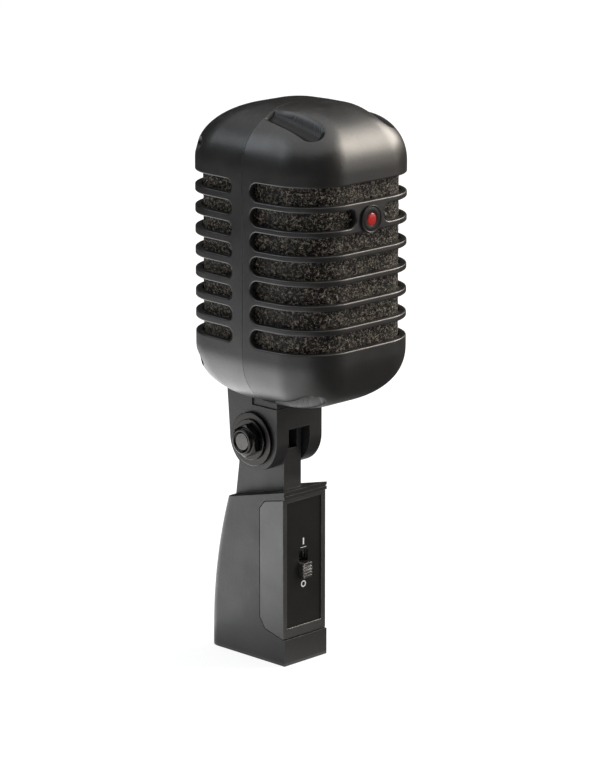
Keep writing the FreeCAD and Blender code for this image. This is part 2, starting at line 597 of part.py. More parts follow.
left = "-bracket_half_width"
subpart("flat_washer", ring("flat_washer_ring", "flat_washer_radius", "pivot_radius + pivot_clearance",
                            "flat_washer_thickness", left, *pivot, "-X"))
lock_x = "-bracket_half_width - flat_washer_thickness"
subpart("lock_washer", ring("lock_washer_ring", "lock_washer_radius", "pivot_radius + pivot_clearance",
                            "lock_washer_thickness", lock_x, *pivot, "-X"))
nut_x = f"{lock_x} - lock_washer_thickness"
nut_body = hexagon("nut_hexagon", "nut_across_flats", "nut_height", nut_x, *pivot, "-X")
nut_round = cone("nut_round", "nut_across_flats / sqrt(3) + 0.2", "nut_across_flats / 2 - 0.2",
                 "nut_height + 0.8", f"{nut_x} + 0.8", *pivot, "-X")
nut_round.setExpression("Radius1", expr("nut_across_flats / 2 + nut_height * 0.45"))
nut_collar = rod("nut_collar", "nut_collar_radius", "nut_height + nut_collar_height", nut_x, *pivot, "-X")
nut_bore = rod("nut_bore", "pivot_radius + pivot_clearance", "nut_height + nut_collar_height", nut_x,
               *pivot, "-X")
nut_mouth = rod("nut_mouth", "nut_mouth_radius", "nut_collar_height / 2",
                f"{nut_x} - nut_height - nut_collar_height / 2", *pivot, "-X")
subpart("pivot_nut", cut("pivot_nut_cut", fuse("nut_blank", common("nut_crowned", nut_body, nut_round),
                                               nut_collar), nut_bore, nut_mouth))

right = "bracket_half_width"
subpart("bolt_washer", ring("bolt_washer_ring", "bolt_washer_radius", "pivot_radius + pivot_clearance",
                            "bolt_washer_thickness", right, *pivot, "X"))
bolt_seat = "bracket_half_width + bolt_washer_thickness"
bolt_far = f"({nut_x} - nut_height - nut_collar_height + bolt_inset)"
bolt_shank = rod("bolt_shank", "pivot_radius", f"{bolt_seat} - {bolt_far}", bolt_far, *pivot, "X")
bolt_head = cone("bolt_head", "bolt_head_radius", "bolt_head_radius * 0.8", "bolt_head_height",
                 bolt_seat, *pivot, "X")
bolt_socket = hexagon("bolt_socket", "bolt_socket_flats", "bolt_socket_depth",
                      f"{bolt_seat} + bolt_head_height - bolt_socket_depth", *pivot, "X")
subpart("pivot_bolt", cut("pivot_bolt_cut", fuse("bolt_blank", bolt_shank, bolt_head), bolt_socket))

washer_thickness = "ear_gap_half - tongue_half_width - side_play - friction_washer_gap"
for number, (x, axis) in enumerate((("-ear_gap_half + friction_washer_gap", "X"),
                                    ("ear_gap_half - friction_washer_gap", "-X")), start=1):
    subpart(f"friction_washer_{number}", ring(
        f"friction_washer_{number}_ring", "friction_washer_radius", "pivot_radius + pivot_clearance",
        washer_thickness, x, *pivot, axis))

# ---------------------------------------------------------------- base casting

base_side = side_pad("base_side", "base_half_width", [
    ("base_front_y", "0", None),
    ("base_rear_y", "0", None),
    ("base_rear_y", "base_back_low", "base_back_radius"),
    ("base_rear_y - base_back_radius + sqrt(base_back_radius ^ 2 - (base_rear_top - base_back_low) ^ 2)",
     "base_rear_top", None),
    ("base_front_y", "base_front_top", None),
])
round_edges(base_side, "base_rear_rounds", "base_rear_round", lambda edge: (
    edge.BoundBox.XLength < 0.01 and edge.BoundBox.YMax > value("base_rear_y") - 0.01
    and edge.BoundBox.ZLength > 1))

tongue_side = side_pad("tongue_side", "tongue_half_width", [
    ("tongue_front_y", "tongue_root_z", None),
    ("tongue_back_low_y", "tongue_root_z", None),
    ("tongue_back_low_y", "base_rear_top", None),
    ("tongue_back_high_y", "tongue_back_high_z", None),
    ("pivot_y + tongue_top_radius", "pivot_z", None),
    ("tongue_front_y", "pivot_z", None),
])
tongue_round = rod("tongue_round", "tongue_top_radius", "2 * tongue_half_width", "-tongue_half_width",
                   *pivot, "X")
tongue_front_cut = box("tongue_front_cut", -FAR, FAR, -FAR, "tongue_front_y",
                       "tongue_root_z", FAR)
tongue = cut("tongue_cut", fuse("tongue_blank", tongue_side, tongue_round), tongue_front_cut)

cover_corners = [
    ("base_front_y + cover_setback", "cover_low_z", None),
    ("cover_rear_y - cover_corner", "cover_low_z + cover_low_rise - cover_corner / 2", None),
    ("cover_rear_y", "cover_low_z + cover_low_rise + cover_corner", None),
    ("cover_rear_y", "cover_high_z - cover_high_drop - cover_corner", None),
    ("cover_rear_y - cover_corner", "cover_high_z - cover_high_drop + cover_corner / 8", None),
    ("base_front_y + cover_setback", "cover_high_z", None),
]
recess_corners = [("base_front_y - 2", "cover_low_z - cover_gap", None)]
for (y, z, radius), (shift_y, shift_z) in zip(cover_corners, (
        (0, -1), (0, -1), (1, 0), (1, 0), (0, 1), (0, 1))):
    recess_corners.append((f"{y} + {shift_y} * cover_gap", f"{z} + {shift_z} * cover_gap", radius))
recess_corners.append(("base_front_y - 2", "cover_high_z + cover_gap", None))
recess = side_pad("cover_recess", "base_half_width + 1", recess_corners)

cavity = box("base_cavity", "-cavity_half_width", "cavity_half_width", "cover_rear_y - 1",
             "cavity_rear_y", "cavity_low_z", "cavity_high_z")
xlr_floor = "(base_rear_y - xlr_depth)"
xlr_bore = rod("xlr_bore", "xlr_radius", FAR, 0, f"{xlr_floor} - insert_thickness / 2", "xlr_z", "Y")
thread_bore = rod("thread_bore", "thread_radius", "thread_depth", 0, 0, 0)


def slanted(name, radius):
    """A rod from the floor of the tongue's notch, back and down into the base's cavity."""
    low_z = "cavity_high_z - lead_reach"
    high_z = "pivot_z - notch_drop"
    high_y = "tongue_front_y + notch_depth / 2 + lead_shift"
    item = rod(name, radius, f"sqrt(({high_z} - ({low_z})) ^ 2 + (lead_low_y - ({high_y})) ^ 2)", 0,
               "lead_low_y", low_z)
    item.Placement = Placement(Vector(), Rotation(Vector(1, 0, 0), 10))
    item.setExpression("Placement.Rotation.Angle",
                       expr(f"atan((lead_low_y - ({high_y})) / ({high_z} - ({low_z})))"))
    return item


lead_bore = slanted("lead_bore", "lead_bore_radius")
notch = box("tongue_notch", "-notch_half_width", "notch_half_width", "tongue_front_y - 1",
            "tongue_front_y + notch_depth", "pivot_z - notch_drop", "pivot_z + tongue_top_radius + 1")
lip_groove = box("lip_groove", "-base_half_width", "base_half_width", "base_front_y - 1",
                 "base_front_y + lip_groove", "base_front_top - lip_groove_z - lip_groove",
                 "base_front_top - lip_groove_z")
subpart("base_body", cut("base_body_cut", fuse("base_blank", base_side, tongue), recess, cavity, xlr_bore,
                         thread_bore, lead_bore, notch, pivot_bore, lip_groove))

# ---------------------------------------------------------------- front cover and plate

cover_blank = side_pad("cover_blank", "base_half_width", cover_corners)
front_face = "base_front_y + cover_setback"
cover_room = box("cover_room", "-base_half_width + cover_wall", "base_half_width - cover_wall",
                 f"{front_face} + cover_front_wall", "cover_rear_y + 1",
                 "cover_low_z + cover_low_rise + cover_wall",
                 "cover_high_z - cover_high_drop - cover_wall")
plate_pocket = box("plate_pocket", "-plate_half_width", "plate_half_width", f"{front_face} - 1",
                   f"{front_face} + plate_recess", "plate_low_z", "plate_high_z")
slot_low = "knob_low_z - slot_gap"
slot_high = "knob_low_z + knob_height + knob_travel + slot_gap"
slot_half = "knob_half_width + slot_gap / 2"
knob_slot = box("knob_slot", f"-({slot_half})", slot_half, f"{front_face} - 1",
                f"{front_face} + cover_front_wall + frame_wall + 0.01", slot_low, slot_high)
thread_room = rod("thread_room", "thread_radius + cover_gap", "thread_depth + cover_gap", 0, 0, 0)
subpart("front_cover", cut("front_cover_cut", cover_blank, cover_room, plate_pocket, knob_slot,
                           thread_room))

plate_front = f"{front_face} + plate_recess - plate_sheet"
plate_blank = box("plate_blank", "-plate_half_width + plate_gap", "plate_half_width - plate_gap",
                  plate_front, f"{front_face} + plate_recess", "plate_low_z + plate_gap",
                  "plate_high_z - plate_gap")
subpart("switch_plate", cut("switch_plate_cut", plate_blank, knob_slot))

# ---------------------------------------------------------------- slide switch

frame_front = f"{front_face} + cover_front_wall"
frame_rear = f"{frame_front} + frame_depth"
frame_low, frame_high = f"{slot_low} - frame_margin", f"{slot_high} + frame_margin"
frame_blank = box("frame_blank", "-frame_half_width", "frame_half_width", frame_front, frame_rear,
                  frame_low, frame_high)
frame_room = box("frame_room", "-frame_half_width + frame_wall", "frame_half_width - frame_wall",
                 f"{frame_front} + frame_wall", f"{frame_rear} - frame_wall",
                 f"{frame_low} + frame_wall", f"{frame_high} - frame_wall")
subpart("switch_frame", cut("switch_frame_cut", frame_blank, frame_room, knob_slot))
subpart("contact_board", box("contact_board_box", "-frame_half_width + 0.3", "frame_half_width - 0.3",
                             frame_rear, f"{frame_rear} + board_thickness", f"{frame_low} + 1",
                             f"{frame_high} - 1"))

knob_top = "knob_low_z + knob_height"
slider_front = f"{frame_front} + frame_wall + slider_gap"
knob_front = f"{plate_front} - knob_proud"
slider = box("knob_slider", "-frame_half_width + frame_wall + slider_gap",
             "frame_half_width - frame_wall - slider_gap", slider_front,
             f"{slider_front} + slider_thickness", "knob_low_z - slider_margin",
             f"{knob_top} + slider_margin")
neck = box("knob_neck", "-knob_half_width", "knob_half_width", knob_front, f"{slider_front} + 0.5",
           "knob_low_z", knob_top)
grooves = []
for index in range(int(value("knob_grooves"))):
    groove_z = f"knob_low_z + knob_height * {index + 1} / (knob_grooves + 1)"
    grooves.append(box(f"knob_groove_{index + 1}", "-knob_half_width - 1", "knob_half_width + 1",
                       f"{knob_front} - 1", f"{knob_front} + knob_groove", f"{groove_z} - knob_groove / 2",
                       f"{groove_z} + knob_groove / 2"))
subpart("switch_knob", cut("switch_knob_cut", fuse("knob_blank", slider, neck), *grooves))

# ---------------------------------------------------------------- XLR socket and leads

insert_disc = rod("insert_disc", "xlr_radius - insert_gap", "insert_thickness", 0,
                  f"{xlr_floor} - insert_thickness / 2", "xlr_z", "Y")
insert_face = f"{xlr_floor} + insert_thickness / 2"
PIN_ANGLES = (25, 155, 270)
pin_holes = []
for number, angle in enumerate(PIN_ANGLES, start=1):
    x, z = f"pin_circle * cos({angle})", f"xlr_z + pin_circle * sin({angle})"
    pin_holes.append(rod(f"pin_hole_{number}", "pin_radius + insert_gap", "insert_thickness", x,
                         f"{xlr_floor} - insert_thickness / 2", z, "Y"))
    pin = rod(f"pin_rod_{number}", "pin_radius", "pin_tail + insert_thickness + pin_length", x,
              f"{xlr_floor} - insert_thickness / 2 - pin_tail", z, "Y")
    subpart(f"xlr_pin_{number}", pin)
subpart("xlr_insert", cut("xlr_insert_cut", insert_disc, *pin_holes))

board_rear = f"{frame_rear} + board_thickness"
for number, hand in enumerate((-1, 1), start=1):
    subpart(f"base_lead_{number}", rod(
        f"base_lead_{number}_rod", "base_lead_radius",
        f"{xlr_floor} - insert_thickness / 2 - ({board_rear})", f"{hand} * base_lead_x", board_rear,
        "xlr_z", "Y"))
subpart("tongue_lead", slanted("tongue_lead_rod", "tongue_lead_radius"))

# ---------------------------------------------------------------- check and write

doc.recompute()
for item in doc.Objects:
    wrong = [state for state in item.State if state in ("Invalid", "Error")]
    if wrong:
        raise RuntimeError(f"{item.Label}: {wrong}")
for node, item in SUBPARTS.items():
    if item.Shape.isNull() or not item.Shape.isValid() or not item.Shape.Solids:
        raise RuntimeError(f"{node}: no valid solid")

os.makedirs("parts", exist_ok=True)
for node, item in SUBPARTS.items():
    item.Shape.exportStep(f"parts/{node}.step")
    print(node, len(item.Shape.Solids), "solid", round(item.Shape.Volume, 1), "mm3")
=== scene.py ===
# %% [markdown]
# # A tilting stage microphone, finished around its CAD frame
# The imported CAD model is the fixed frame: every piece below takes its place and size from it.
# This first cell loads the frame.

# %% Load the frame
import json
import math

import bmesh
import bpy
import numpy as np
from mathutils import Matrix, Vector
from mathutils.bvhtree import BVHTree

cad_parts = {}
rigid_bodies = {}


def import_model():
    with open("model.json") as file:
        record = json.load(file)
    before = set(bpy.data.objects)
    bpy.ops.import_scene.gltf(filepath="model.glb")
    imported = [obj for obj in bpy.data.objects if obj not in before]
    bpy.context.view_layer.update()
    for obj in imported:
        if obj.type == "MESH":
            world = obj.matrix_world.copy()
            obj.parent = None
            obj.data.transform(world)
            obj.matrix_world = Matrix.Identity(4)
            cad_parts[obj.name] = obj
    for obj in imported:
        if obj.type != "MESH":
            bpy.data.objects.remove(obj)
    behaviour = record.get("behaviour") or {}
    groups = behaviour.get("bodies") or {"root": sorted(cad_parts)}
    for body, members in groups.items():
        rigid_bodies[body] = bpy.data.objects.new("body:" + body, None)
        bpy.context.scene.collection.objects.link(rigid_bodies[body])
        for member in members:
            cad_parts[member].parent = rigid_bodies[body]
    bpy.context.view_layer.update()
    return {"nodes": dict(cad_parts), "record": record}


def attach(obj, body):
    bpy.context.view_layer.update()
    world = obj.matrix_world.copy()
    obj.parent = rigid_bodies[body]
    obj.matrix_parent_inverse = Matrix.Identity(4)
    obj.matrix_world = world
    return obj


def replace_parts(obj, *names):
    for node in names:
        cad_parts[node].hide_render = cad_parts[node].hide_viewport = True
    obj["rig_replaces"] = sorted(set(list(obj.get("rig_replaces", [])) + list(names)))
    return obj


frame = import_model()
MM = 0.001
SLOTS = {s["node"]: s["material_slot"] for s in frame["record"]["subparts"]}
BODIES = {n: b for b, nodes in frame["record"]["behaviour"]["bodies"].items() for n in nodes}


# %% [markdown]
# ## Camera
# The camera looks a little down on the corner between the microphone's side and its front, from far
# away, so that the upright edges stay nearly parallel.

# %% Camera
azimuth, elevation = math.radians(-45.52), math.radians(14.04)
aim = Vector((6.36, -7.06, 93.5)) * MM
back = Vector((math.sin(azimuth) * math.cos(elevation), -math.cos(azimuth) * math.cos(elevation),
               math.sin(elevation)))
camera = bpy.data.objects.new("camera", bpy.data.cameras.new("camera"))
camera.data.lens = 160.8
camera.data.sensor_width = 36
camera.data.clip_end = 20
camera.location = aim + back * 1.1404
camera.rotation_euler = back.to_track_quat("Z", "Y").to_euler()
bpy.context.collection.objects.link(camera)
bpy.context.scene.camera = camera
bpy.context.scene.view_settings.view_transform = "Standard"
print("camera at", tuple(round(v, 4) for v in camera.location))


# %% [markdown]
# ## Floor and light
# The floor and the sky are white to the eye and to reflections. The floor is a real diffuse surface too,
# so the base keeps its soft shadow. A large warm panel stands on the right and a cooler one hangs at the
# rear left: they draw the broad soft highlights on the dark paint. A weak panel fills in from the front
# right, and another lies at the rear left and sends light up, as a white table top does. Black drapes
# round the set and dark cards on the floor, as in a product studio, are there for reflections only:
# without them satin black looks grey. One card fades out towards the rear left, so its reflection has no
# hard edge.

# %% Floor, sky and lamps
def new_material(name):
    """A new node material, its tree and its Principled shader."""
    material = bpy.data.materials.new(name)
    material.use_nodes = True
    tree = material.node_tree
    return material, tree, tree.nodes["Principled BSDF"]


def seen_directly(tree):
    """1 for rays from the camera, from a mirror-like surface or through glass, else 0."""
    path = tree.nodes.new("ShaderNodeLightPath")
    total = path.outputs["Is Camera Ray"]
    for name in ("Is Glossy Ray", "Is Transmission Ray"):
        add = tree.nodes.new("ShaderNodeMath")
        add.operation = "MAXIMUM"
        tree.links.new(total, add.inputs[0])
        tree.links.new(path.outputs[name], add.inputs[1])
        total = add.outputs[0]
    return total


def lamp(name, towards, distance, width, height, power, color):
    """A rectangular soft panel that faces the head from one direction."""
    data = bpy.data.lights.new(name, "AREA")
    data.shape = "RECTANGLE"
    data.size, data.size_y = width, height
    data.energy = power
    data.color = color
    panel = bpy.data.objects.new(name, data)
    way = Vector(towards).normalized()
    panel.location = Vector((0, -0.01, 0.12)) + way * distance
    panel.rotation_euler = way.to_track_quat("Z", "Y").to_euler()
    panel.visible_camera = False
    bpy.context.collection.objects.link(panel)
    return panel


def staged(name, points, faces, color):
    """A plain matt sheet of the studio, which isn't part of the object."""
    material, tree, shader = new_material(name)
    shader.inputs["Base Color"].default_value = (*color, 1)
    shader.inputs["Roughness"].default_value = 0.9
    shader.inputs["Specular IOR Level"].default_value = 0.1
    mesh = bpy.data.meshes.new(name)
    mesh.from_pydata(points, [], faces)
    mesh.materials.append(material)
    sheet = bpy.data.objects.new(name, mesh)
    bpy.context.collection.objects.link(sheet)
    return sheet, shader


RING_STEPS = 64


def ring_sheet(name, inner, outer, color):
    """A round sheet between two rings of points (radius, height), for reflections only."""
    angle = np.radians(np.linspace(0, 360, RING_STEPS + 1))
    points = [(r * math.sin(a), -r * math.cos(a), z) for r, z in (inner, outer) for a in angle]
    faces = [(k, k + 1, k + RING_STEPS + 2, k + RING_STEPS + 1) for k in range(RING_STEPS)]
    sheet, shader = staged(name, points, faces, color)
    sheet.visible_camera = sheet.visible_diffuse = sheet.visible_shadow = False
    sheet.visible_transmission = False
    return sheet, shader


def fading(sheet, shader, start, end):
    """Makes a sheet clear on its left and rear side; it turns solid from start to end, in metres."""
    tree = sheet.data.materials[0].node_tree
    place = tree.nodes.new("ShaderNodeTexCoord")
    along = tree.nodes.new("ShaderNodeVectorMath")
    along.operation = "DOT_PRODUCT"
    along.inputs[1].default_value = (0.7071, -0.7071, 0)
    tree.links.new(place.outputs["Object"], along.inputs[0])
    reach = tree.nodes.new("ShaderNodeMapRange")
    reach.interpolation_type = "SMOOTHSTEP"
    reach.inputs["From Min"].default_value, reach.inputs["From Max"].default_value = start, end
    tree.links.new(along.outputs["Value"], reach.inputs["Value"])
    mix = tree.nodes.new("ShaderNodeMixShader")
    tree.links.new(reach.outputs["Result"], mix.inputs[0])
    tree.links.new(tree.nodes.new("ShaderNodeBsdfTransparent").outputs[0], mix.inputs[1])
    tree.links.new(shader.outputs[0], mix.inputs[2])
    tree.links.new(mix.outputs[0], tree.nodes["Material Output"].inputs["Surface"])


floor, shader = staged("floor", [(-40, -40, 0), (40, -40, 0), (40, 40, 0), (-40, 40, 0)], [(0, 1, 2, 3)],
                       (0.3, 0.3, 0.3))
floor.data.transform(Matrix.Translation((0, 0, -0.0001)))
shader.inputs["Emission Color"].default_value = (1, 1, 1, 1)
shader.inputs["Emission Strength"].default_value = 0.83
DRAPE, CARD = (0.02, 0.02, 0.02), (0.03, 0.03, 0.03)
CARD_Z = 0.001
ring_sheet("drapes", (2.5, 0.0), (2.5, 2.45), DRAPE)
ring_sheet("dark_floor", (0.42, CARD_Z), (2.6, CARD_Z), CARD)
fading(*ring_sheet("dark_card", (0.005, CARD_Z), (0.43, CARD_Z), CARD), -0.05, 0.075)

world = bpy.data.worlds.new("sky")
bpy.context.scene.world = world
world.use_nodes = True
tree = world.node_tree
sky = tree.nodes["Background"]
white = tree.nodes.new("ShaderNodeBackground")
white.inputs["Color"].default_value = (1, 1, 1, 1)
sky.inputs["Color"].default_value = (0.95, 0.97, 1.0, 1)
sky.inputs["Strength"].default_value = 0.55
mix = tree.nodes.new("ShaderNodeMixShader")
tree.links.new(seen_directly(tree), mix.inputs[0])
tree.links.new(sky.outputs[0], mix.inputs[1])
tree.links.new(white.outputs[0], mix.inputs[2])
tree.links.new(mix.outputs[0], tree.nodes["World Output"].inputs["Surface"])

lamp("warm_panel", (0.83, -0.30, 0.50), 1.3, 1.05, 0.62, 20.0, (1.0, 0.92, 0.82))
lamp("cool_panel", (-0.62, 0.50, 0.58), 1.3, 0.95, 0.60, 3.6, (0.88, 0.94, 1.0))
lamp("front_fill", (0.72, -0.68, 0.12), 1.4, 0.8, 0.8, 3.0, (1.0, 0.95, 0.89))
glow = lamp("table_glow", (0, 0, 1), 0.1, 0.32, 0.24, 0.32, (0.97, 0.98, 1.0))
glow.location = (-0.08, 0.15, 0.002)
glow.rotation_euler = (math.pi, 0, 0)
print("floor, sky and", len(bpy.data.lights), "lamps")


# %% [markdown]
# ## Meshes from arrays
# A surface here is a grid of points worked out with numpy. One helper turns grids into one mesh, welds
# them where they meet and turns all faces outwards. Another copies a CAD node's mesh, welds its loose
# triangles and rounds its sharp edges a little, because a cast or turned edge is never quite sharp.

# %% Mesh helpers
def grid_faces(rows, columns, closed):
    """Quads between neighbours of a grid; closed joins its last column to its first."""
    index = np.arange(rows * columns).reshape(rows, columns)
    if closed:
        index = np.concatenate([index, index[:, :1]], axis=1)
    corners = (index[:-1, :-1], index[:-1, 1:], index[1:, 1:], index[1:, :-1])
    return np.stack([c.ravel() for c in corners], axis=1)


def new_piece(name, mesh):
    """A linked object with this mesh."""
    piece = bpy.data.objects.new(name, mesh)
    bpy.context.collection.objects.link(piece)
    return piece


def piece_from(name, grids, weld=0.002 * MM):
    """One smooth mesh object from (points in mm, closed or not) grids."""
    points, faces, start = [], [], 0
    for grid, closed in grids:
        rows, columns = grid.shape[:2]
        points.append(grid.reshape(-1, 3) * MM)
        faces.append(grid_faces(rows, columns, closed) + start)
        start += rows * columns
    mesh = bpy.data.meshes.new(name)
    mesh.from_pydata(np.concatenate(points).tolist(), [], np.concatenate(faces).tolist())
    tidy = bmesh.new()
    tidy.from_mesh(mesh)
    bmesh.ops.remove_doubles(tidy, verts=tidy.verts, dist=weld)
    bmesh.ops.dissolve_degenerate(tidy, edges=tidy.edges, dist=weld)
    bmesh.ops.recalc_face_normals(tidy, faces=tidy.faces)
    tidy.to_mesh(mesh)
    tidy.free()
    mesh.shade_smooth()
    return new_piece(name, mesh)


def fit(piece, node, material):
    """Gives the piece its node's body and the given material, and hides the node."""
    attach(piece, BODIES[node])
    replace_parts(piece, node)
    piece.data.materials.clear()
    piece.data.materials.append(material)
    return piece


SHARP = math.radians(30)


def softened(node, material, width):
    """A copy of a CAD node, welded, with edges sharper than SHARP rounded to about width mm."""
    source = frame["nodes"][node]
    piece = new_piece(node + "_soft", source.data.copy())
    tidy = bmesh.new()
    tidy.from_mesh(piece.data)
    bmesh.ops.remove_doubles(tidy, verts=tidy.verts, dist=0.001 * MM)
    bmesh.ops.dissolve_limit(tidy, angle_limit=math.radians(0.3), verts=tidy.verts, edges=tidy.edges)
    tidy.to_mesh(piece.data)
    tidy.free()
    piece.data.shade_smooth()
    piece.data.set_sharp_from_angle(angle=SHARP)
    bevel = piece.modifiers.new("rounded_edges", "BEVEL")
    bevel.width = width * MM
    bevel.segments = 3
    bevel.limit_method = "ANGLE"
    bevel.angle_limit = SHARP
    bevel.miter_outer = "MITER_ARC"
    weight = piece.modifiers.new("flat_faces_stay_flat", "WEIGHTED_NORMAL")
    weight.weight = 50
    return fit(piece, node, material)


def turned(profile, centre, axis, count=96):
    """Grid of a solid of revolution: profile is (radius, distance along axis) pairs in mm."""
    profile = np.array(profile, float)
    axis = np.array(axis, float)
    side = np.cross(axis, (0.0, 0.0, 1.0) if abs(axis[2]) < 0.9 else (0.0, 1.0, 0.0))
    side /= np.linalg.norm(side)
    up = np.cross(axis, side)
    angle = np.linspace(0, 2 * np.pi, count, endpoint=False)
    ring = np.cos(angle)[:, None] * side + np.sin(angle)[:, None] * up
    grid = profile[:, 0, None, None] * ring + profile[:, 1, None, None] * axis
    return grid + np.array(centre, float)


# %% [markdown]
# ## Shared surface effects
# Three node groups hold what several finishes share. `coat_grain` gives the faint unevenness of sprayed
# paint as a height and a mask. The edge group finds convex edges, where paint is thin and polished by
# hands; on the switch knob its lighter edges are painted highlight instead. `settled_dust` is a mask of
# upward faces broken up by noise. They give out only masks and heights.

# %% Node groups
def add_node(tree, kind, links=(), **values):
    """A node with its settings and inputs set; links is (input, output socket) pairs."""
    node = tree.nodes.new(kind)
    for key, value in values.items():
        if hasattr(node, key):
            setattr(node, key, value)
        else:
            node.inputs[key.replace("_", " ")].default_value = value
    for key, socket in links:
        tree.links.new(socket, node.inputs[key])
    return node


def new_group(name, inputs, outputs):
    """A node group with value inputs (name, default) and value outputs."""
    group = bpy.data.node_groups.new(name, "ShaderNodeTree")
    for key, default in inputs:
        socket = group.interface.new_socket(key, in_out="INPUT", socket_type="NodeSocketFloat")
        socket.default_value = default
    for key in outputs:
        group.interface.new_socket(key, in_out="OUTPUT", socket_type="NodeSocketFloat")
    return group, group.nodes.new("NodeGroupInput"), group.nodes.new("NodeGroupOutput")


group, given, result = new_group("coat_grain", [("Scale", 900.0)], ["Height", "Mask"])
place = add_node(group, "ShaderNodeTexCoord")
fine = add_node(group, "ShaderNodeTexNoise", [("Vector", place.outputs["Object"]),
                                              ("Scale", given.outputs["Scale"])], Detail=2.0)
broad = add_node(group, "ShaderNodeTexNoise", [("Vector", place.outputs["Object"])],
                 Scale=70.0, Detail=4.0, Roughness=0.6)
group.links.new(fine.outputs[0], result.inputs["Height"])
group.links.new(broad.outputs[0], result.inputs["Mask"])
COAT_GRAIN = group

# Convex edges turn lighter: worn paint on most finishes, painted highlight on the knob's ribs.
group, given, result = new_group("edge_wear_and_sheen", [("Radius", 0.0004), ("Amount", 1.0)], ["Mask"])
rounded = add_node(group, "ShaderNodeBevel", [("Radius", given.outputs["Radius"])], samples=4)
surface = add_node(group, "ShaderNodeNewGeometry")
facing = add_node(group, "ShaderNodeVectorMath", [(0, rounded.outputs[0]), (1, surface.outputs["Normal"])],
                  operation="DOT_PRODUCT")
reach = add_node(group, "ShaderNodeMapRange", [("Value", facing.outputs["Value"])],
                 From_Min=0.995, From_Max=0.85, To_Min=0.0, To_Max=1.0)
place = add_node(group, "ShaderNodeTexCoord")
patchy = add_node(group, "ShaderNodeTexNoise", [("Vector", place.outputs["Object"])], Scale=260.0,
                  Detail=3.0)
broken = add_node(group, "ShaderNodeMapRange", [("Value", patchy.outputs[0])], From_Min=0.4,
                  From_Max=0.65, To_Min=0.0, To_Max=1.0)
both = add_node(group, "ShaderNodeMath", [(0, reach.outputs[0]), (1, broken.outputs[0])],
                operation="MULTIPLY")
total = add_node(group, "ShaderNodeMath", [(0, both.outputs[0]), (1, given.outputs["Amount"])],
                 operation="MULTIPLY")
group.links.new(total.outputs[0], result.inputs["Mask"])
EDGE_WEAR_AND_SHEEN = group

group, given, result = new_group("settled_dust", [("Amount", 0.5)], ["Mask"])
surface = add_node(group, "ShaderNodeNewGeometry")
parts = add_node(group, "ShaderNodeSeparateXYZ", [(0, surface.outputs["Normal"])])
upward = add_node(group, "ShaderNodeMapRange", [("Value", parts.outputs["Z"])], From_Min=0.3,
                  From_Max=1.0, To_Min=0.0, To_Max=1.0)
place = add_node(group, "ShaderNodeTexCoord")
specks = add_node(group, "ShaderNodeTexNoise", [("Vector", place.outputs["Object"])], Scale=420.0,
                  Detail=5.0, Roughness=0.7)
spots = add_node(group, "ShaderNodeMapRange", [("Value", specks.outputs[0])], From_Min=0.5,
                 From_Max=0.75, To_Min=0.0, To_Max=1.0)
both = add_node(group, "ShaderNodeMath", [(0, upward.outputs[0]), (1, spots.outputs[0])],
                operation="MULTIPLY")
total = add_node(group, "ShaderNodeMath", [(0, both.outputs[0]), (1, given.outputs["Amount"])],
                 operation="MULTIPLY")
group.links.new(total.outputs[0], result.inputs["Mask"])
SETTLED_DUST = group
print("node groups:", [g.name for g in bpy.data.node_groups])


# %% [markdown]
# ## Finishes
# Every finish is made of nodes on object coordinates. Paint has a fine orange-peel bump, patchy
# roughness, lighter worn edges and a trace of dust; on the switch knob the lighter edges are painted
# highlight. The shell's paint also reads a mask from the mesh that paints shade into the scoops, so they
# turn darker and less reflective. Metals vary in roughness, and foam gets its open cells from a cell
# pattern that drives both colour and bump; its pale patches are painted glints.

# %% Finishes
def use_group(tree, group, **values):
    """A node that runs a shared group, with some of its inputs set."""
    node = tree.nodes.new("ShaderNodeGroup")
    node.node_tree = group
    for key, value in values.items():
        node.inputs[key].default_value = value
    return node


def blend_color(tree, factor, first, second):
    """A colour between two colours, or colour sockets, by a mask socket."""
    mix = tree.nodes.new("ShaderNodeMix")
    mix.data_type = "RGBA"
    tree.links.new(factor, mix.inputs["Factor"])
    for key, item in ((6, first), (7, second)):
        if isinstance(item, tuple):
            mix.inputs[key].default_value = (*item, 1)
        else:
            tree.links.new(item, mix.inputs[key])
    return mix.outputs[2]


DUST = (0.11, 0.105, 0.095)


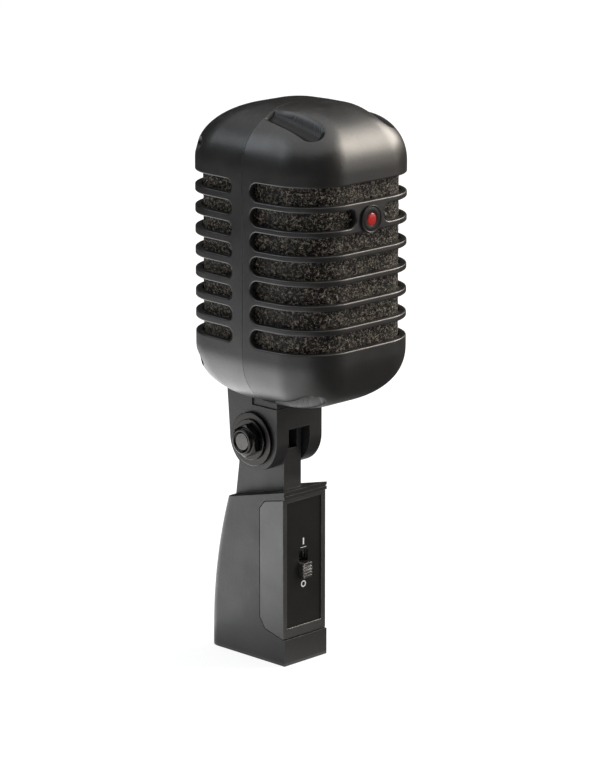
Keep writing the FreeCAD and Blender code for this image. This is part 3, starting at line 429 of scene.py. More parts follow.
def painted(name, color, roughness, specular, bump=0.12, edge_wear_and_sheen_amount=0.5, dust=0.3, edge_wear_and_sheen_color=None, painted_scoop_shade=False):
    """Sprayed paint: its colour, its mean roughness, how strong its grain, lighter edges and dust are.

    On most paints the edge colour is that of worn edges; on the knob's ribs it is a painted highlight. The
    last flag says that the mesh holds a mask of painted shade, which darkens the scoops and dulls them.
    """
    material, tree, shader = new_material(name)
    grain = use_group(tree, COAT_GRAIN)
    edge_wear_and_sheen_mask = use_group(tree, EDGE_WEAR_AND_SHEEN, Amount=edge_wear_and_sheen_amount)
    dusty = use_group(tree, SETTLED_DUST, Amount=dust)
    lighter = edge_wear_and_sheen_color or tuple(min(1.0, 2.6 * c + 0.012) for c in color)
    deeper = tuple(0.86 * c for c in color)
    base = blend_color(tree, grain.outputs["Mask"], deeper, tuple(1.14 * c for c in color))
    base = blend_color(tree, edge_wear_and_sheen_mask.outputs["Mask"], base, lighter)
    base = blend_color(tree, dusty.outputs["Mask"], base, DUST)
    # Painted shade: the mesh's scoop mask darkens the colour inside the scoops.
    if painted_scoop_shade:
        scoop_shade_attribute = add_node(tree, "ShaderNodeAttribute", attribute_name="painted_scoop_shade")
        base = blend_color(tree, scoop_shade_attribute.outputs["Fac"], base, tuple(0.35 * c for c in color))
    tree.links.new(base, shader.inputs["Base Color"])
    rough = add_node(tree, "ShaderNodeMapRange", [("Value", grain.outputs["Mask"])], From_Min=0.3,
                     From_Max=0.7, To_Min=roughness - 0.05, To_Max=roughness + 0.06)
    tree.links.new(rough.outputs[0], shader.inputs["Roughness"])
    shader.inputs["Specular IOR Level"].default_value = specular
    # Painted shade: the same mask lowers the reflection inside the scoops.
    if painted_scoop_shade:
        shaded_specular = add_node(tree, "ShaderNodeMapRange", [("Value", scoop_shade_attribute.outputs["Fac"])],
                        To_Min=specular, To_Max=0.1 * specular)
        tree.links.new(shaded_specular.outputs[0], shader.inputs["Specular IOR Level"])
    relief = add_node(tree, "ShaderNodeBump", [("Height", grain.outputs["Height"])], Strength=bump,
                      Distance=0.0002)
    tree.links.new(relief.outputs[0], shader.inputs["Normal"])
    return material


def metal(name, color, roughness, streak=0.0, bump=0.05, scale=1500.0, edge_wear_and_sheen_color=None, edge_wear_and_sheen_amount=0.7):
    """Bare or blackened metal with uneven roughness; streak stretches its highlights, as turning does."""
    material, tree, shader = new_material(name)
    grain = use_group(tree, COAT_GRAIN, Scale=scale)
    edge_wear_and_sheen_mask = use_group(tree, EDGE_WEAR_AND_SHEEN, Amount=edge_wear_and_sheen_amount, Radius=0.0003)
    base = blend_color(tree, grain.outputs["Mask"], tuple(0.85 * c for c in color),
                       tuple(min(1.0, 1.12 * c) for c in color))
    brighter = edge_wear_and_sheen_color or tuple(min(0.8, 1.6 * c + 0.05) for c in color)
    base = blend_color(tree, edge_wear_and_sheen_mask.outputs["Mask"], base, brighter)
    tree.links.new(base, shader.inputs["Base Color"])
    shader.inputs["Metallic"].default_value = 1.0
    rough = add_node(tree, "ShaderNodeMapRange", [("Value", grain.outputs["Mask"])], From_Min=0.3,
                     From_Max=0.7, To_Min=roughness - 0.06, To_Max=roughness + 0.08)
    tree.links.new(rough.outputs[0], shader.inputs["Roughness"])
    shader.inputs["Anisotropic"].default_value = streak
    relief = add_node(tree, "ShaderNodeBump", [("Height", grain.outputs["Height"])], Strength=bump,
                      Distance=0.0001)
    tree.links.new(relief.outputs[0], shader.inputs["Normal"])
    return material


def foamed(name, dark, painted_glint_color, scale):
    """Open-cell foam: dark, with pale struts in noisy patches; the pale patches are painted glints."""
    material, tree, shader = new_material(name)
    place = add_node(tree, "ShaderNodeTexCoord")
    cells = add_node(tree, "ShaderNodeTexVoronoi", [("Vector", place.outputs["Object"])],
                     feature="DISTANCE_TO_EDGE", Scale=scale)
    struts = add_node(tree, "ShaderNodeMapRange", [("Value", cells.outputs["Distance"])], From_Min=0.02,
                      From_Max=0.22, To_Min=1.0, To_Max=0.0)
    # Painted highlight: noisy patches where the struts turn pale, for the foam's glints.
    cloud = add_node(tree, "ShaderNodeTexNoise", [("Vector", place.outputs["Object"])], Scale=1100.0,
                     Detail=4.0, Roughness=0.75)
    painted_glint_patches = add_node(tree, "ShaderNodeMapRange", [("Value", cloud.outputs[0])], From_Min=0.48,
                   From_Max=0.66, To_Min=0.0, To_Max=1.0)
    both = add_node(tree, "ShaderNodeMath", [(0, struts.outputs[0]), (1, painted_glint_patches.outputs[0])],
                    operation="MULTIPLY")
    base = blend_color(tree, both.outputs[0], dark, painted_glint_color)
    tree.links.new(base, shader.inputs["Base Color"])
    shader.inputs["Roughness"].default_value = 0.5
    shader.inputs["Specular IOR Level"].default_value = 0.4
    relief = add_node(tree, "ShaderNodeBump", [("Height", both.outputs[0])], Strength=0.9,
                      Distance=0.0004)
    tree.links.new(relief.outputs[0], shader.inputs["Normal"])
    return material


FINISH = {
    # The shell's paint takes painted shade in its scoops from the mesh's mask.
    "shell_paint": painted("shell_paint", (0.0090, 0.0084, 0.0078), 0.36, 0.95, edge_wear_and_sheen_amount=0.9,
                           edge_wear_and_sheen_color=(0.085, 0.08, 0.075), painted_scoop_shade=True),
    "base_paint": painted("base_paint", (0.0100, 0.0096, 0.0096), 0.42, 0.6, bump=0.16, edge_wear_and_sheen_amount=0.8,
                          edge_wear_and_sheen_color=(0.07, 0.068, 0.066)),
    "cover_paint": painted("cover_paint", (0.0180, 0.0172, 0.0165), 0.40, 1.0, edge_wear_and_sheen_amount=0.9,
                           edge_wear_and_sheen_color=(0.12, 0.115, 0.11)),
    "plate_print": painted("plate_print", (0.009, 0.0085, 0.0079), 0.42, 0.3, bump=0.04, edge_wear_and_sheen_amount=0.3,
                           dust=0.1),
    # The foam's pale colour is painted glints on its struts.
    "foam": foamed("foam", (0.0014, 0.0012, 0.0008), (0.50, 0.44, 0.33), scale=1400.0),
    "badge": painted("badge", (0.012, 0.0115, 0.011), 0.4, 0.35, bump=0.04, edge_wear_and_sheen_amount=0.6,
                     edge_wear_and_sheen_color=(0.12, 0.115, 0.11)),
    "enamel": painted("enamel", (0.36, 0.012, 0.010), 0.22, 0.5, bump=0.03, edge_wear_and_sheen_amount=0.2, dust=0.1),
    "black_steel": metal("black_steel", (0.045, 0.043, 0.041), 0.27, streak=0.3,
                         edge_wear_and_sheen_color=(0.5, 0.49, 0.47), edge_wear_and_sheen_amount=1.2),
    "worn_bolt": metal("worn_bolt", (0.085, 0.082, 0.078), 0.2, streak=0.4, bump=0.35, scale=700.0,
                       edge_wear_and_sheen_color=(0.7, 0.69, 0.67), edge_wear_and_sheen_amount=1.4),
    "steel": metal("steel", (0.45, 0.45, 0.45), 0.3),
    "aluminium": metal("aluminium", (0.55, 0.55, 0.56), 0.36, streak=0.3),
    "copper": metal("copper", (0.62, 0.27, 0.13), 0.34),
    "film": painted("film", (0.55, 0.50, 0.38), 0.3, 0.5, bump=0.02, edge_wear_and_sheen_amount=0.0, dust=0.0),
    "rubber": painted("rubber", (0.014, 0.014, 0.014), 0.75, 0.3, bump=0.1, edge_wear_and_sheen_amount=0.0),
    "nylon": painted("nylon", (0.003, 0.003, 0.003), 0.7, 0.1, bump=0.05, edge_wear_and_sheen_amount=0.0, dust=0.0),
    # The knob's lighter rib edges are painted highlight, standing in for the glints on its ribs.
    "knob_plastic": painted("knob_plastic", (0.020, 0.0195, 0.0185), 0.30, 0.9, bump=0.05, edge_wear_and_sheen_amount=2.2,
                            dust=0.1, edge_wear_and_sheen_color=(0.42, 0.40, 0.37)),
    "board": painted("board", (0.02, 0.07, 0.03), 0.45, 0.5, bump=0.05, edge_wear_and_sheen_amount=0.0),
    "wire": painted("wire", (0.12, 0.012, 0.012), 0.45, 0.5, bump=0.03, edge_wear_and_sheen_amount=0.0),
    "contact": metal("contact", (0.62, 0.56, 0.42), 0.25),
    "ink": painted("ink", (0.55, 0.55, 0.53), 0.5, 0.3, bump=0.02, edge_wear_and_sheen_amount=0.0, dust=0.0),
}
print(len(FINISH), "finishes")


# %% [markdown]
# ## The head's form
# The two shells share one outline, seen from above: a flat front, a big corner, and a side that leans out
# a little to a ridge, where the shells meet. `plan` walks along that outline by its length u from the
# middle of the front. The sides rise straight, and above and below them the outline shrinks along a
# superellipse into a dome. A shell's inside is the same form, one wall smaller.

# %% Outline and domes
RIDGE_Y = -15.1
HALF_WIDTH, CORNER, FLARE = 28.4, 16.8, math.radians(4.2)
WALL, RISE, FULLNESS = 2.2, 20.2, 2.3
SIDE_LOW, SIDE_HIGH = 110.0, 170.5
SCOOP_X, SCOOP_START, SCOOP_DROP = 17.2, 0.6, 1.2
SCOOP_RADIUS, SCOOP_WIDENING = 3.2, 1.2
SCOOP_LENGTH, SCOOP_TILT = 20.0, math.radians(12.5)
SCOOP_BLEND, SCOOP_EDGE, SCOOP_RAMP = 0.2, 0.56, 0.08
SEAM_STRAIGHT, SEAM_REACH = 1.0, 12.0
CROWN_DIP, CROWN_REACH = 0.22, 0.4


class Outline:
    """One half of the head's outline, from the middle of its flat end to the ridge, by length u.

    depth is its reach from the ridge plane, and lip the radius of the shell's edge at the joint.
    """

    def __init__(self, depth, lip):
        self.lip = lip
        self.corner_v = depth - CORNER
        reach = (CORNER + self.corner_v * math.sin(FLARE)) / math.cos(FLARE)
        self.flat = HALF_WIDTH - reach
        self.arc = CORNER * (math.pi / 2 - FLARE)
        self.side = (self.corner_v + CORNER * math.sin(FLARE)) / math.cos(FLARE)
        self.run = self.flat + self.arc + self.side

    def from_ridge(self, q):
        """Length u at distance q from the ridge plane, on the side's line."""
        return self.run - q / math.cos(FLARE)

    def plan(self, u, inset):
        """x and distance q from the ridge plane, at length u, moved inwards by inset.

        |u| < flat: straight, then an arc of radius R with normal angle 90 deg - (|u| - flat) / R, then
        the side's line, where the inset point slides forwards, so that it ends at q = 0.
        """
        u, inset = np.broadcast_arrays(np.asarray(u, float), np.asarray(inset, float))
        length = np.abs(u)
        angle = np.pi / 2 - np.clip(length - self.flat, 0, self.arc) / CORNER
        past = np.clip(length - self.flat - self.arc, 0, None)
        slide = inset * np.tan(FLARE) * np.clip(past / self.side, 0, 1) ** 2
        x = np.minimum(length, self.flat) + (CORNER - inset) * np.cos(angle)
        x = x + (past - slide) * np.sin(FLARE)
        q = self.corner_v + (CORNER - inset) * np.sin(angle) - (past - slide) * np.cos(FLARE)
        return np.sign(u) * x, q


FRONT, REAR = Outline(29.8, 0.2), Outline(32.9, 0.04)


def scoop_line(q):
    """A scoop's middle line at distance q: its height over the side's end, its radius, the way past it."""
    along = np.clip((q - SCOOP_START) / math.cos(SCOOP_TILT), 0, SCOOP_LENGTH)
    past = np.clip(q - SCOOP_START - SCOOP_LENGTH * math.cos(SCOOP_TILT), 0, None)
    radius = SCOOP_RADIUS + SCOOP_WIDENING * along / SCOOP_LENGTH
    return RISE - SCOOP_DROP - along * math.sin(SCOOP_TILT), radius, past


def scoop_depth(x, q, z, extra):
    """How far the two scoops reach below a dome point. z is the height over the side's end.

    Each scoop is a channel of radius r(q) about a line that falls forwards: its floor is
    z_line - sqrt(r^2 - dx^2), and it ends in a ball. The depth is a smooth maximum of z - floor and 0.
    extra widens the channel for the wall's inside, which has no ramp at the joint.
    """
    line, radius, past = scoop_line(q)
    radius = radius + extra
    away = np.sqrt((np.abs(x) - SCOOP_X) ** 2 + past ** 2)
    floor = line - np.sqrt(np.clip(radius ** 2 - away ** 2, 0, None)) + 2 * np.clip(away - radius, 0, None)
    over = z - floor
    depth = 0.5 * (over + np.sqrt(over ** 2 + SCOOP_BLEND ** 2)) - 0.03
    start = SCOOP_EDGE if extra == 0 else -1
    return np.clip(depth, 0, None) * np.clip((q - start) / SCOOP_RAMP, 0, 1)


def dome(line, u, bend, inset, scooped):
    """x, q and height on a dome at length u and bend 0 (side's end) to 1 (crown).

    scale = cos(t)^(2/p) and height = rise sin(t)^(2/p), with p the fullness. Near the ridge the rows keep
    their distance q, so the seam and the scoops' flat ends stay straight. The crown dips by CROWN_DIP.
    """
    t = bend * np.pi / 2
    scale = np.clip(np.cos(t), 0, 1) ** (2 / FULLNESS)
    scale = np.where(bend >= 1, 0.0, scale)
    x, q = line.plan(u, inset)
    near = (1 - np.clip((line.run - np.abs(u) - SEAM_STRAIGHT) / SEAM_REACH, 0, 1)) ** 2
    large = np.clip((scale - 0.28) / 0.2, 0, 1)
    keep = near * large * large * (3 - 2 * large)
    x, q = x * scale, q * (scale + (1 - scale) * keep)
    width = HALF_WIDTH - inset / math.cos(FLARE)
    gauge = np.where(keep > 0, (np.abs(x) + q * math.tan(FLARE)) / width, scale)
    rise = RISE - inset
    height = rise * (1 - np.clip(gauge, 0, 1) ** FULLNESS) ** (1 / FULLNESS)
    height = height - CROWN_DIP * np.clip(1 - (gauge / CROWN_REACH) ** 2, 0, 1) ** 2
    if scooped:
        height = height - scoop_depth(x, q, height, 0.0 if inset == 0 else WALL)
    return x, q, height


def dome_rows(count):
    """Bends that are evenly spaced along the dome's profile."""
    bend = np.linspace(0, 1, 4000)
    scale = np.cos(bend * np.pi / 2) ** (2 / FULLNESS)
    height = RISE / HALF_WIDTH * np.sin(bend * np.pi / 2) ** (2 / FULLNESS)
    length = np.concatenate([[0], np.cumsum(np.hypot(np.diff(scale), np.diff(height)))])
    rows = np.interp(np.linspace(0, length[-1], count), length, bend)
    rows[0], rows[-1] = 0, 1
    return rows


# %% [markdown]
# ## The shells
# A shell is one closed skin. Each slot lies in a cell of its own: rings of points run from the cell's
# border in to the slot's edge, round it over, go through the wall and spread out again inside. The domes
# close the top and bottom, and a strip with a rounded edge closes the joint between the shells.

# %% Shell builder
RIM = 0.42


def upright(line, u, z, depth):
    """Points of the straight side at length u and height z, depth mm into the wall."""
    u, z, depth = np.broadcast_arrays(u, z, depth)
    x, q = line.plan(u, depth)
    return np.stack([x, q, z], axis=-1)


def slot_cell(line, us, rise, centre, half, low_end, high_end):
    """Closed grid round one slot: from its cell's border, over the rim, through the wall, to the border.

    A border point's hole point is the nearest one on the slot's middle line, moved out by the slot's
    radius; the rim is a quarter circle of radius RIM.
    """
    steps = np.linspace(rise, -rise, 13)
    border_u = np.concatenate([us, np.full(11, us[-1]), us[::-1], np.full(11, us[0])])
    border_z = np.concatenate([np.full(len(us), rise), steps[1:-1], np.full(len(us), -rise),
                               steps[::-1][1:-1]])
    du = border_u - np.clip(border_u, low_end, high_end)
    length = np.hypot(du, border_z)
    way_u, way_z = du / length, border_z / length
    hole_u, hole_z = border_u - du + half * way_u, half * way_z
    rings = [(border_u, border_z, 0.0)]
    for share in (0.35, 0.7):
        rings.append((border_u + share * (hole_u + 0.6 * way_u - border_u),
                      border_z + share * (hole_z + 0.6 * way_z - border_z), 0.0))
    rings.append((hole_u + 0.6 * way_u, hole_z + 0.6 * way_z, 0.0))
    for turn in np.radians((0, 22.5, 45, 67.5, 90)):
        out = RIM * (1 - math.sin(turn))
        rings.append((hole_u + out * way_u, hole_z + out * way_z, RIM * (1 - math.cos(turn))))
    rings.append((hole_u, hole_z, WALL - 0.1))
    rings.append((hole_u + 0.1 * way_u, hole_z + 0.1 * way_z, WALL))
    rings.append((border_u, border_z, WALL))
    return np.stack([upright(line, u, centre + z, depth) for u, z, depth in rings]), True


def joint_strip(outer_edge, seam_edge, lip):
    """Columns from the outside edge, over a corner of radius lip, across the joint face to the inside.

    outer_edge(depth) and seam_edge(depth) give the skin's edge and its projection on the joint plane.
    """
    columns = [outer_edge(0.0)]
    for turn in np.radians((30, 60, 90)):
        share, depth = math.sin(turn), lip * (1 - math.cos(turn))
        columns.append((1 - share) * outer_edge(depth) + share * seam_edge(depth))
    columns += [seam_edge(WALL), outer_edge(WALL)]
    return np.stack(columns, axis=1), False


def shell_grids(line, us, pitch, first, slots, scooped):
    """All grids of one shell in x, q, z.

    first is the height of the lowest slot's middle. slots lists, for each row of slots, the columns, the
    half width and the two ends of each hole. scooped shells have scoops, and finer rows on their domes.
    """
    ends = np.array([us[0], us[-1]])
    seams = np.sign(ends) * line.run
    low_rows = np.linspace(SIDE_LOW, first - pitch / 2, 4)
    top = first + pitch * (len(slots) - 0.5)
    high_rows = np.linspace(top, SIDE_HIGH, 4)
    grids = []
    for rows in (low_rows, high_rows):
        for depth in (0.0, WALL):
            grids.append((upright(line, us[None, :], rows[:, None], depth), False))
    for index, holes in enumerate(slots):
        centre = first + pitch * index
        for columns, half, low_end, high_end in holes:
            grids.append(slot_cell(line, columns, pitch / 2, centre, half, low_end, high_end))
    side_rows = [low_rows]
    for index in range(len(slots)):
        side_rows.append(first + pitch * index + np.linspace(-pitch / 2, pitch / 2, 13)[1:])
    side_rows = np.concatenate(side_rows + [high_rows[1:]])
    for end, seam in zip(ends, seams):
        grids.append(joint_strip(lambda depth: upright(line, end, side_rows, depth),
                                 lambda depth: upright(line, seam, side_rows, depth), line.lip))
    top_count, bottom_count = (110, 72) if scooped else (58, 58)
    for base, way, count in ((SIDE_HIGH, 1, top_count), (SIDE_LOW, -1, bottom_count)):
        bends = dome_rows(count)

        def skin(u, bend, depth):
            """Dome points at a depth in the wall, between the outside and the inside."""
            outer = np.stack(np.broadcast_arrays(*dome(line, u, bend, 0.0, scooped)), axis=-1)
            inner = np.stack(np.broadcast_arrays(*dome(line, u, bend, WALL, scooped)), axis=-1)
            mixed = outer + (inner - outer) * depth / WALL
            mixed[..., 2] = base + way * mixed[..., 2]
            return mixed

        for depth in (0.0, WALL):
            grids.append((skin(us[None, :], bends[:, None], depth), False))
        for end, seam in zip(ends, seams):
            grids.append(joint_strip(lambda depth: skin(np.full(count, end), bends, depth),
                                     lambda depth: skin(np.full(count, seam), bends, depth),
                                     line.lip))
    return grids


def towards(grids, sign):
    """Turns (x, q, z) grids into the model's frame: q points to the front (-1) or to the rear (+1)."""
    turned_grids = []
    for grid, closed in grids:
        x, q, z = np.moveaxis(grid, -1, 0)
        turned_grids.append((np.stack([x, RIDGE_Y + sign * q, z], axis=-1), closed))
    return turned_grids


def both_hands(half):
    """Symmetric samples from the samples of one half, which start at 0."""
    return np.concatenate([-half[:0:-1], half])


# %% [markdown]
# ## Front shell
# It has seven rows of slots. The sixth is split by the web that carries the badge. A pair of scoops at the
# top and another at the bottom start at the joint and run forwards into the dome. Every point inside a
# scoop gets a mask value that rises to 1, which paints shade there: the paint turns darker and less
# reflective.

# %% Front shell
def samples(*stops):
    """Samples between stops, each given as (value, spacing that leads up to it)."""
    values = [np.array([stops[0]])]
    for value, spacing in stops[1:]:
        count = max(1, int(round((value - values[-1][-1]) / spacing)))
        values.append(np.linspace(values[-1][-1], value, count + 1)[1:])
    return np.concatenate(values)


ROWS, LOW_GAP, BADGE_ROW = 7, 3.4, 5
PITCH, HALF, SETBACK, WEB = 8.0, 3.05, 3.2, 6.3
FIRST_SLOT = SIDE_LOW + LOW_GAP + HALF
web_end, slot_end = WEB + HALF, FRONT.from_ridge(SETBACK + HALF)
half_us = samples(0, (web_end, 0.8), (slot_end - 9, 0.75), (slot_end, 0.45),
                  *[(FRONT.from_ridge(q), 0.4) for q in (0.95, 0.72, 0.64, 0.56, 0.44, FRONT.lip)])
us = both_hands(half_us)
slots = [[(us, HALF, -slot_end, slot_end)] for row in range(ROWS)]
slots[BADGE_ROW] = [(half_us, HALF, web_end, slot_end), (-half_us[::-1], HALF, -slot_end, -web_end)]
grids = shell_grids(FRONT, us, PITCH, FIRST_SLOT, slots, True)
front_shell = piece_from("front_shell_cast", towards(grids, -1))

# A mask of painted shade for the paint: 1 inside the scoops, where the colour turns darker.
points = np.empty(len(front_shell.data.vertices) * 3)
front_shell.data.vertices.foreach_get("co", points)
x, y, z = points.reshape(-1, 3).T / MM
line, radius, past = scoop_line(RIDGE_Y - y)
over = np.maximum(z - SIDE_HIGH, SIDE_LOW - z)
away = np.sqrt((np.abs(x) - SCOOP_X) ** 2 + past ** 2 + (over - line) ** 2)
painted_scoop_shade = np.clip((radius + 0.12 - away) / 0.2, 0, 1)
painted_scoop_shade *= y < RIDGE_Y - SCOOP_START + 0.02
front_shell.data.attributes.new("painted_scoop_shade", "FLOAT", "POINT").data.foreach_set("value", painted_scoop_shade)
fit(front_shell, "front_shell", FINISH["shell_paint"])
print("front shell", len(front_shell.data.polygons), "faces")


# %% [markdown]
# ## Rear shell
# It has eight rows of narrower slots, and no scoops.

# %% Rear shell
REAR_ROWS, REAR_LOW_GAP = 8, 3.8
REAR_PITCH, REAR_HALF, REAR_SETBACK = 7.0, 2.25, 5.2
slot_end = REAR.from_ridge(REAR_SETBACK + REAR_HALF)
half_us = samples(0, (slot_end, 0.55), (REAR.from_ridge(0.4), 0.5), (REAR.from_ridge(REAR.lip), 0.2))
us = both_hands(half_us)
slots = [[(us, REAR_HALF, -slot_end, slot_end)]] * REAR_ROWS
grids = shell_grids(REAR, us, REAR_PITCH, SIDE_LOW + REAR_LOW_GAP + REAR_HALF, slots, False)
rear_shell = piece_from("rear_shell_cast", towards(grids, 1))
print("rear shell", len(rear_shell.data.polygons), "faces")


# %% [markdown]
# ## Screw pockets
# Four deep pockets let a screwdriver reach the screws that hold the shells together. They are cut through
# the rear shell's skin. A tube lines each one, and rays from behind find where the tube has to end.

# %% Screw pockets
SCREW_X, SCREW_Z = 22.5, (104.8, 175.7)
POCKET, BOSS, SEAT_Y = 2.9, 4.2, -5.1
BEHIND_Y, POCKET_STEPS = 30, 48
round_angle = np.linspace(0, 2 * np.pi, POCKET_STEPS, endpoint=False)
shell_tree = BVHTree.FromObject(rear_shell, bpy.context.evaluated_depsgraph_get())


def pocket_ring(x, z, radius, y=None, under=0.0):
    """Circle about a screw's axis at y, or without y, under mm below the shell's skin."""
    xs, zs = x + radius * np.cos(round_angle), z + radius * np.sin(round_angle)
    if y is None:
        starts = [Vector((a, 2 * BEHIND_Y, b)) * MM for a, b in zip(xs, zs)]
        hits = [shell_tree.ray_cast(start, Vector((0, -1, 0)))[0] for start in starts]
        y = np.array([hit.y / MM for hit in hits]) - under
    return np.stack([xs, np.full(POCKET_STEPS, 1.0) * y, zs], axis=-1)


cutters, linings = [], []
for x in (-SCREW_X, SCREW_X):
    for z in SCREW_Z:
        rings = [pocket_ring(x, z, r, y) for r, y in ((0, SEAT_Y), (POCKET, SEAT_Y), (POCKET, BEHIND_Y),
                                                      (0, BEHIND_Y))]
        cutters.append((np.stack(rings), True))
        mouth = pocket_ring(x, z, POCKET, under=0.03)
        rings = [mouth, pocket_ring(x, z, POCKET, SEAT_Y), pocket_ring(x, z, BOSS, SEAT_Y),
                 pocket_ring(x, z, BOSS, under=0.35), mouth]
        linings.append((np.stack(rings), True))
cutter = piece_from("pocket_cutter", cutters)
hole = rear_shell.modifiers.new("pockets", "BOOLEAN")
hole.object = cutter
hole.solver = "EXACT"
cut = bpy.data.meshes.new_from_object(rear_shell.evaluated_get(bpy.context.evaluated_depsgraph_get()))
rear_shell.modifiers.clear()
lining = piece_from("pocket_lining", linings)
both = bmesh.new()
both.from_mesh(cut)
both.from_mesh(lining.data)
both.to_mesh(rear_shell.data)
both.free()
for helper in (cutter, lining):
    bpy.data.objects.remove(helper)
rear_shell.data.set_sharp_from_angle(angle=math.radians(40))
fit(rear_shell, "rear_shell", FINISH["shell_paint"])
print("with pockets", len(rear_shell.data.polygons), "faces")


# %% [markdown]
# ## Foam liners
# Behind the slots lies open-cell foam. Its skin is a fine grid whose points sit at random depths, with a
# slower waviness under them, so that it catches light as small glints and shades itself in between.

# %% Foam
FOAM_LOW, FOAM_HIGH, FOAM_SKIN, FOAM_BACK, FOAM_GAP = 111.2, 169.3, 2.52, 6.3, 0.14


def foam_grids(line, seed, rows=134, columns=236):
    """Closed foam sheet from its skin, under the shell's wall, to its back.

    The skin's depth is FOAM_SKIN + white noise + eight slow waves of random direction and phase.
    """
    random = np.random.default_rng(seed)
    us = np.linspace(-line.run + FOAM_GAP, line.run - FOAM_GAP, columns)
    zs = np.linspace(FOAM_LOW, FOAM_HIGH, rows)
    relief = 0.34 * random.random((rows, columns)) ** 1.5
    waves = sum(np.sin(random.uniform(0.4, 1.4) * us[None, :] + random.uniform(0.4, 1.4) * zs[:, None]
                       + random.uniform(0, 6.3)) for _ in range(8)) / 8
    depth = FOAM_SKIN + relief + 0.12 * (waves + 1)
    skin = upright(line, us[None, :], zs[:, None], depth)
    behind = upright(line, us[None, :], zs[:, None], FOAM_BACK)
    edges = [np.stack([skin[row], behind[row]]) for row in (0, -1)]
    edges += [np.stack([skin[:, column], behind[:, column]], axis=1) for column in (0, -1)]
    return [(grid, False) for grid in [skin, behind] + edges]


front_foam = fit(piece_from("front_foam_open", towards(foam_grids(FRONT, 3), -1)), "front_foam",
                 FINISH["foam"])
rear_foam = fit(piece_from("rear_foam_open", towards(foam_grids(REAR, 4), 1)), "rear_foam", FINISH["foam"])
print("foam", len(front_foam.data.polygons), len(rear_foam.data.polygons), "faces")


# %% [markdown]
# ## Badge
# A turned disc with a fine raised rim sits on the bar between two slots, with a plain dot of red enamel
# in its pocket. It carries no mark. Each is a profile turned about the badge's own axis.

# %% Badge
BADGE_BACK_Y, BADGE_DROP, FORWARDS = -44.9, 1.0, (0, -1, 0)
badge_centre = (0, BADGE_BACK_Y, FIRST_SLOT + BADGE_ROW * PITCH - BADGE_DROP)
disc = [(0, 0.3), (2.06, 0.3), (2.08, 0.6), (2.2, 0.68), (3.6, 0.7), (3.8, 0.62), (3.95, 0.58),
        (4.08, 0.66), (4.18, 0.82), (4.32, 0.89), (4.46, 0.86), (4.56, 0.76), (4.6, 0.6), (4.6, 0), (0, 0)]
fit(piece_from("badge_disc_turned", [(turned(disc, badge_centre, FORWARDS), True)]), "badge_disc",
    FINISH["badge"])
dot = [(0, 0.98), (0.8, 0.96), (1.4, 0.91), (1.75, 0.84), (1.95, 0.74), (2.02, 0.6), (2.02, 0.31),
       (0, 0.31)]
fit(piece_from("badge_dot_domed", [(turned(dot, badge_centre, FORWARDS), True)]), "badge_dot",
    FINISH["enamel"])
print("badge at", badge_centre)


# %% [markdown]
# ## Pivot nut
# The nut is a chamfered hexagon that runs out into a round collar. Its radius is the smaller of the
# hexagon's and a cone's, which gives the curved chamfer lines of a real nut.

# %% Nut
NUT_STEPS = 240


def hex_nut(flats, height, collar, collar_height, mouth, bore):
    """Grid of the nut about +Z: r(angle, a) = min(hexagon(angle), cone(a)), then the collar's profile."""
    angle = np.linspace(0, 2 * np.pi, NUT_STEPS, endpoint=False)
    sector = (angle + np.pi / 6) % (np.pi / 3) - np.pi / 6
    hexagon = np.minimum(flats / 2 / np.cos(sector), flats / 2 * 1.14)
    face = flats / 2 * 0.96
    end = height + collar_height
    turn = np.radians(np.linspace(0, 90, 7))
    rows = [(bore, 0.0), (face, 0.0)]
    rows += [(np.minimum(hexagon, face + 1.5 * min(a, height - a)), a) for a in np.linspace(0, height, 22)]
    rows += [(collar + 0.15, height), (collar, height + 0.12)]
    rows += [(collar - 0.45 * (1 - math.cos(k)), end - 0.45 * (1 - math.sin(k))) for k in turn]
    rows += [(mouth + 0.08, end), (mouth, end - 0.08), (mouth, end - 0.6), (bore, end - 0.6), (bore, 0.0)]
    return np.stack([np.stack([r * np.cos(angle), r * np.sin(angle), np.full(NUT_STEPS, a)], axis=-1)
                     for r, a in rows])


NUT_SEAT_X, PIVOT_Y, PIVOT_Z = -12.75, -2.0, 76.6
nut = hex_nut(10.0, 2.4, 4.3, 1.2, 3.45, 3.05)
nut = np.stack([NUT_SEAT_X - nut[..., 2], PIVOT_Y + nut[..., 0], PIVOT_Z + nut[..., 1]], axis=-1)
fit(piece_from("pivot_nut_turned", [(nut, True)]), "pivot_nut", FINISH["black_steel"])
print("nut", nut.shape)


# %% [markdown]
# ## Switch marks
# A bar and a ring, the plain signs for on and off, are printed on the plate above and below the switch,
# with a short line over the slot. They are thin raised ink.

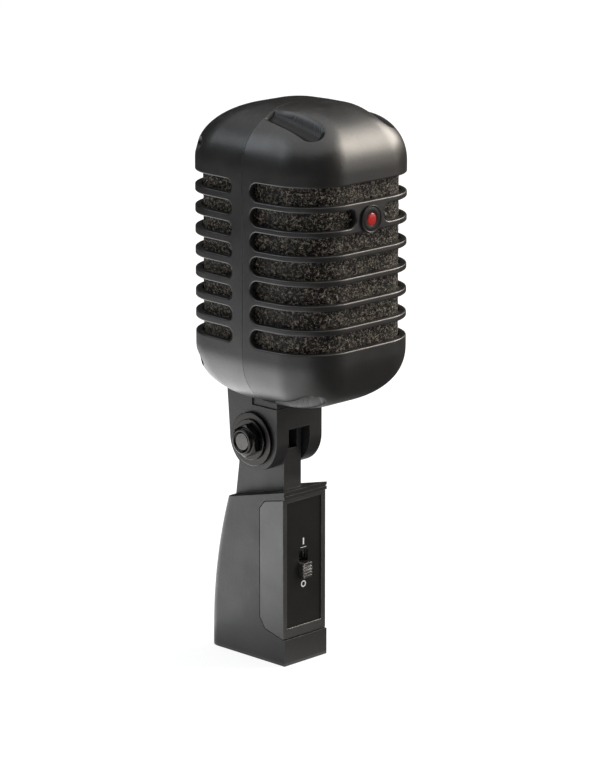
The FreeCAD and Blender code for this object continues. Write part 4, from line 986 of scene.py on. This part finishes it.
# %% Marks
PLATE_Y, INK = -14.9, 0.04


def mark(name, outer, inner):
    """A flat band of ink on the plate between two closed lines of (x, z) points."""
    front = PLATE_Y - INK
    rows = ((outer, PLATE_Y), (outer, front), (inner, front), (inner, PLATE_Y), (outer, PLATE_Y))
    grid = np.stack([np.stack([e[:, 0], np.full(len(e), y), e[:, 1]], axis=-1) for e, y in rows])
    piece = piece_from(name, [(grid, True)], weld=0.001 * MM)
    piece.data.shade_flat()
    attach(piece, "base")
    piece.data.materials.append(FINISH["ink"])


def bar(z, width, height):
    """Outer line of an upright bar centred over the switch, and its centre as the inner line."""
    corners = np.array([(-1, -1), (1, -1), (1, 1), (-1, 1)]) * (width / 2, height / 2) + (0, z)
    return corners, corners * 0 + (0, z)


ON_Z, LINE_Z, OFF_Z, OFF_OUTER, OFF_INNER = 41.6, 39.5, 26.7, 1.15, 0.72
turn = np.linspace(0, 2 * np.pi, 48, endpoint=False)
circle = np.stack([np.cos(turn), np.sin(turn)], axis=-1)
mark("mark_on", *bar(ON_Z, 0.6, 2.3))
mark("mark_line", *bar(LINE_Z, 2.8, 0.16))
mark("mark_off", circle * OFF_OUTER + (0, OFF_Z), circle * OFF_INNER + (0, OFF_Z))
print("three marks on the plate")


# %% [markdown]
# ## Pieces that keep their CAD form
# The base's castings, the washers, screws, socket and inner parts already have the right shape. They only
# get soft edges, a little more on the castings than on the small turned parts, and their finishes. The
# pivot bolt's finish is barer than the other black steel, because its end is worn.

# %% Other pieces
EDGE = {"base_body": 0.35, "clevis_bracket": 0.4, "front_cover": 0.45, "switch_knob": 0.14,
        "switch_plate": 0.1, "pivot_bolt": 0.3, "flat_washer": 0.25, "lock_washer": 0.22}
done = {n for o in bpy.data.objects for n in o.get("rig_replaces", [])}
for node in BODIES:
    if node not in done:
        finish = FINISH["worn_bolt" if node == "pivot_bolt" else SLOTS[node]]
        softened(node, finish, EDGE.get(node, 0.15))
print(len(BODIES) - len(done), "CAD pieces with soft edges")
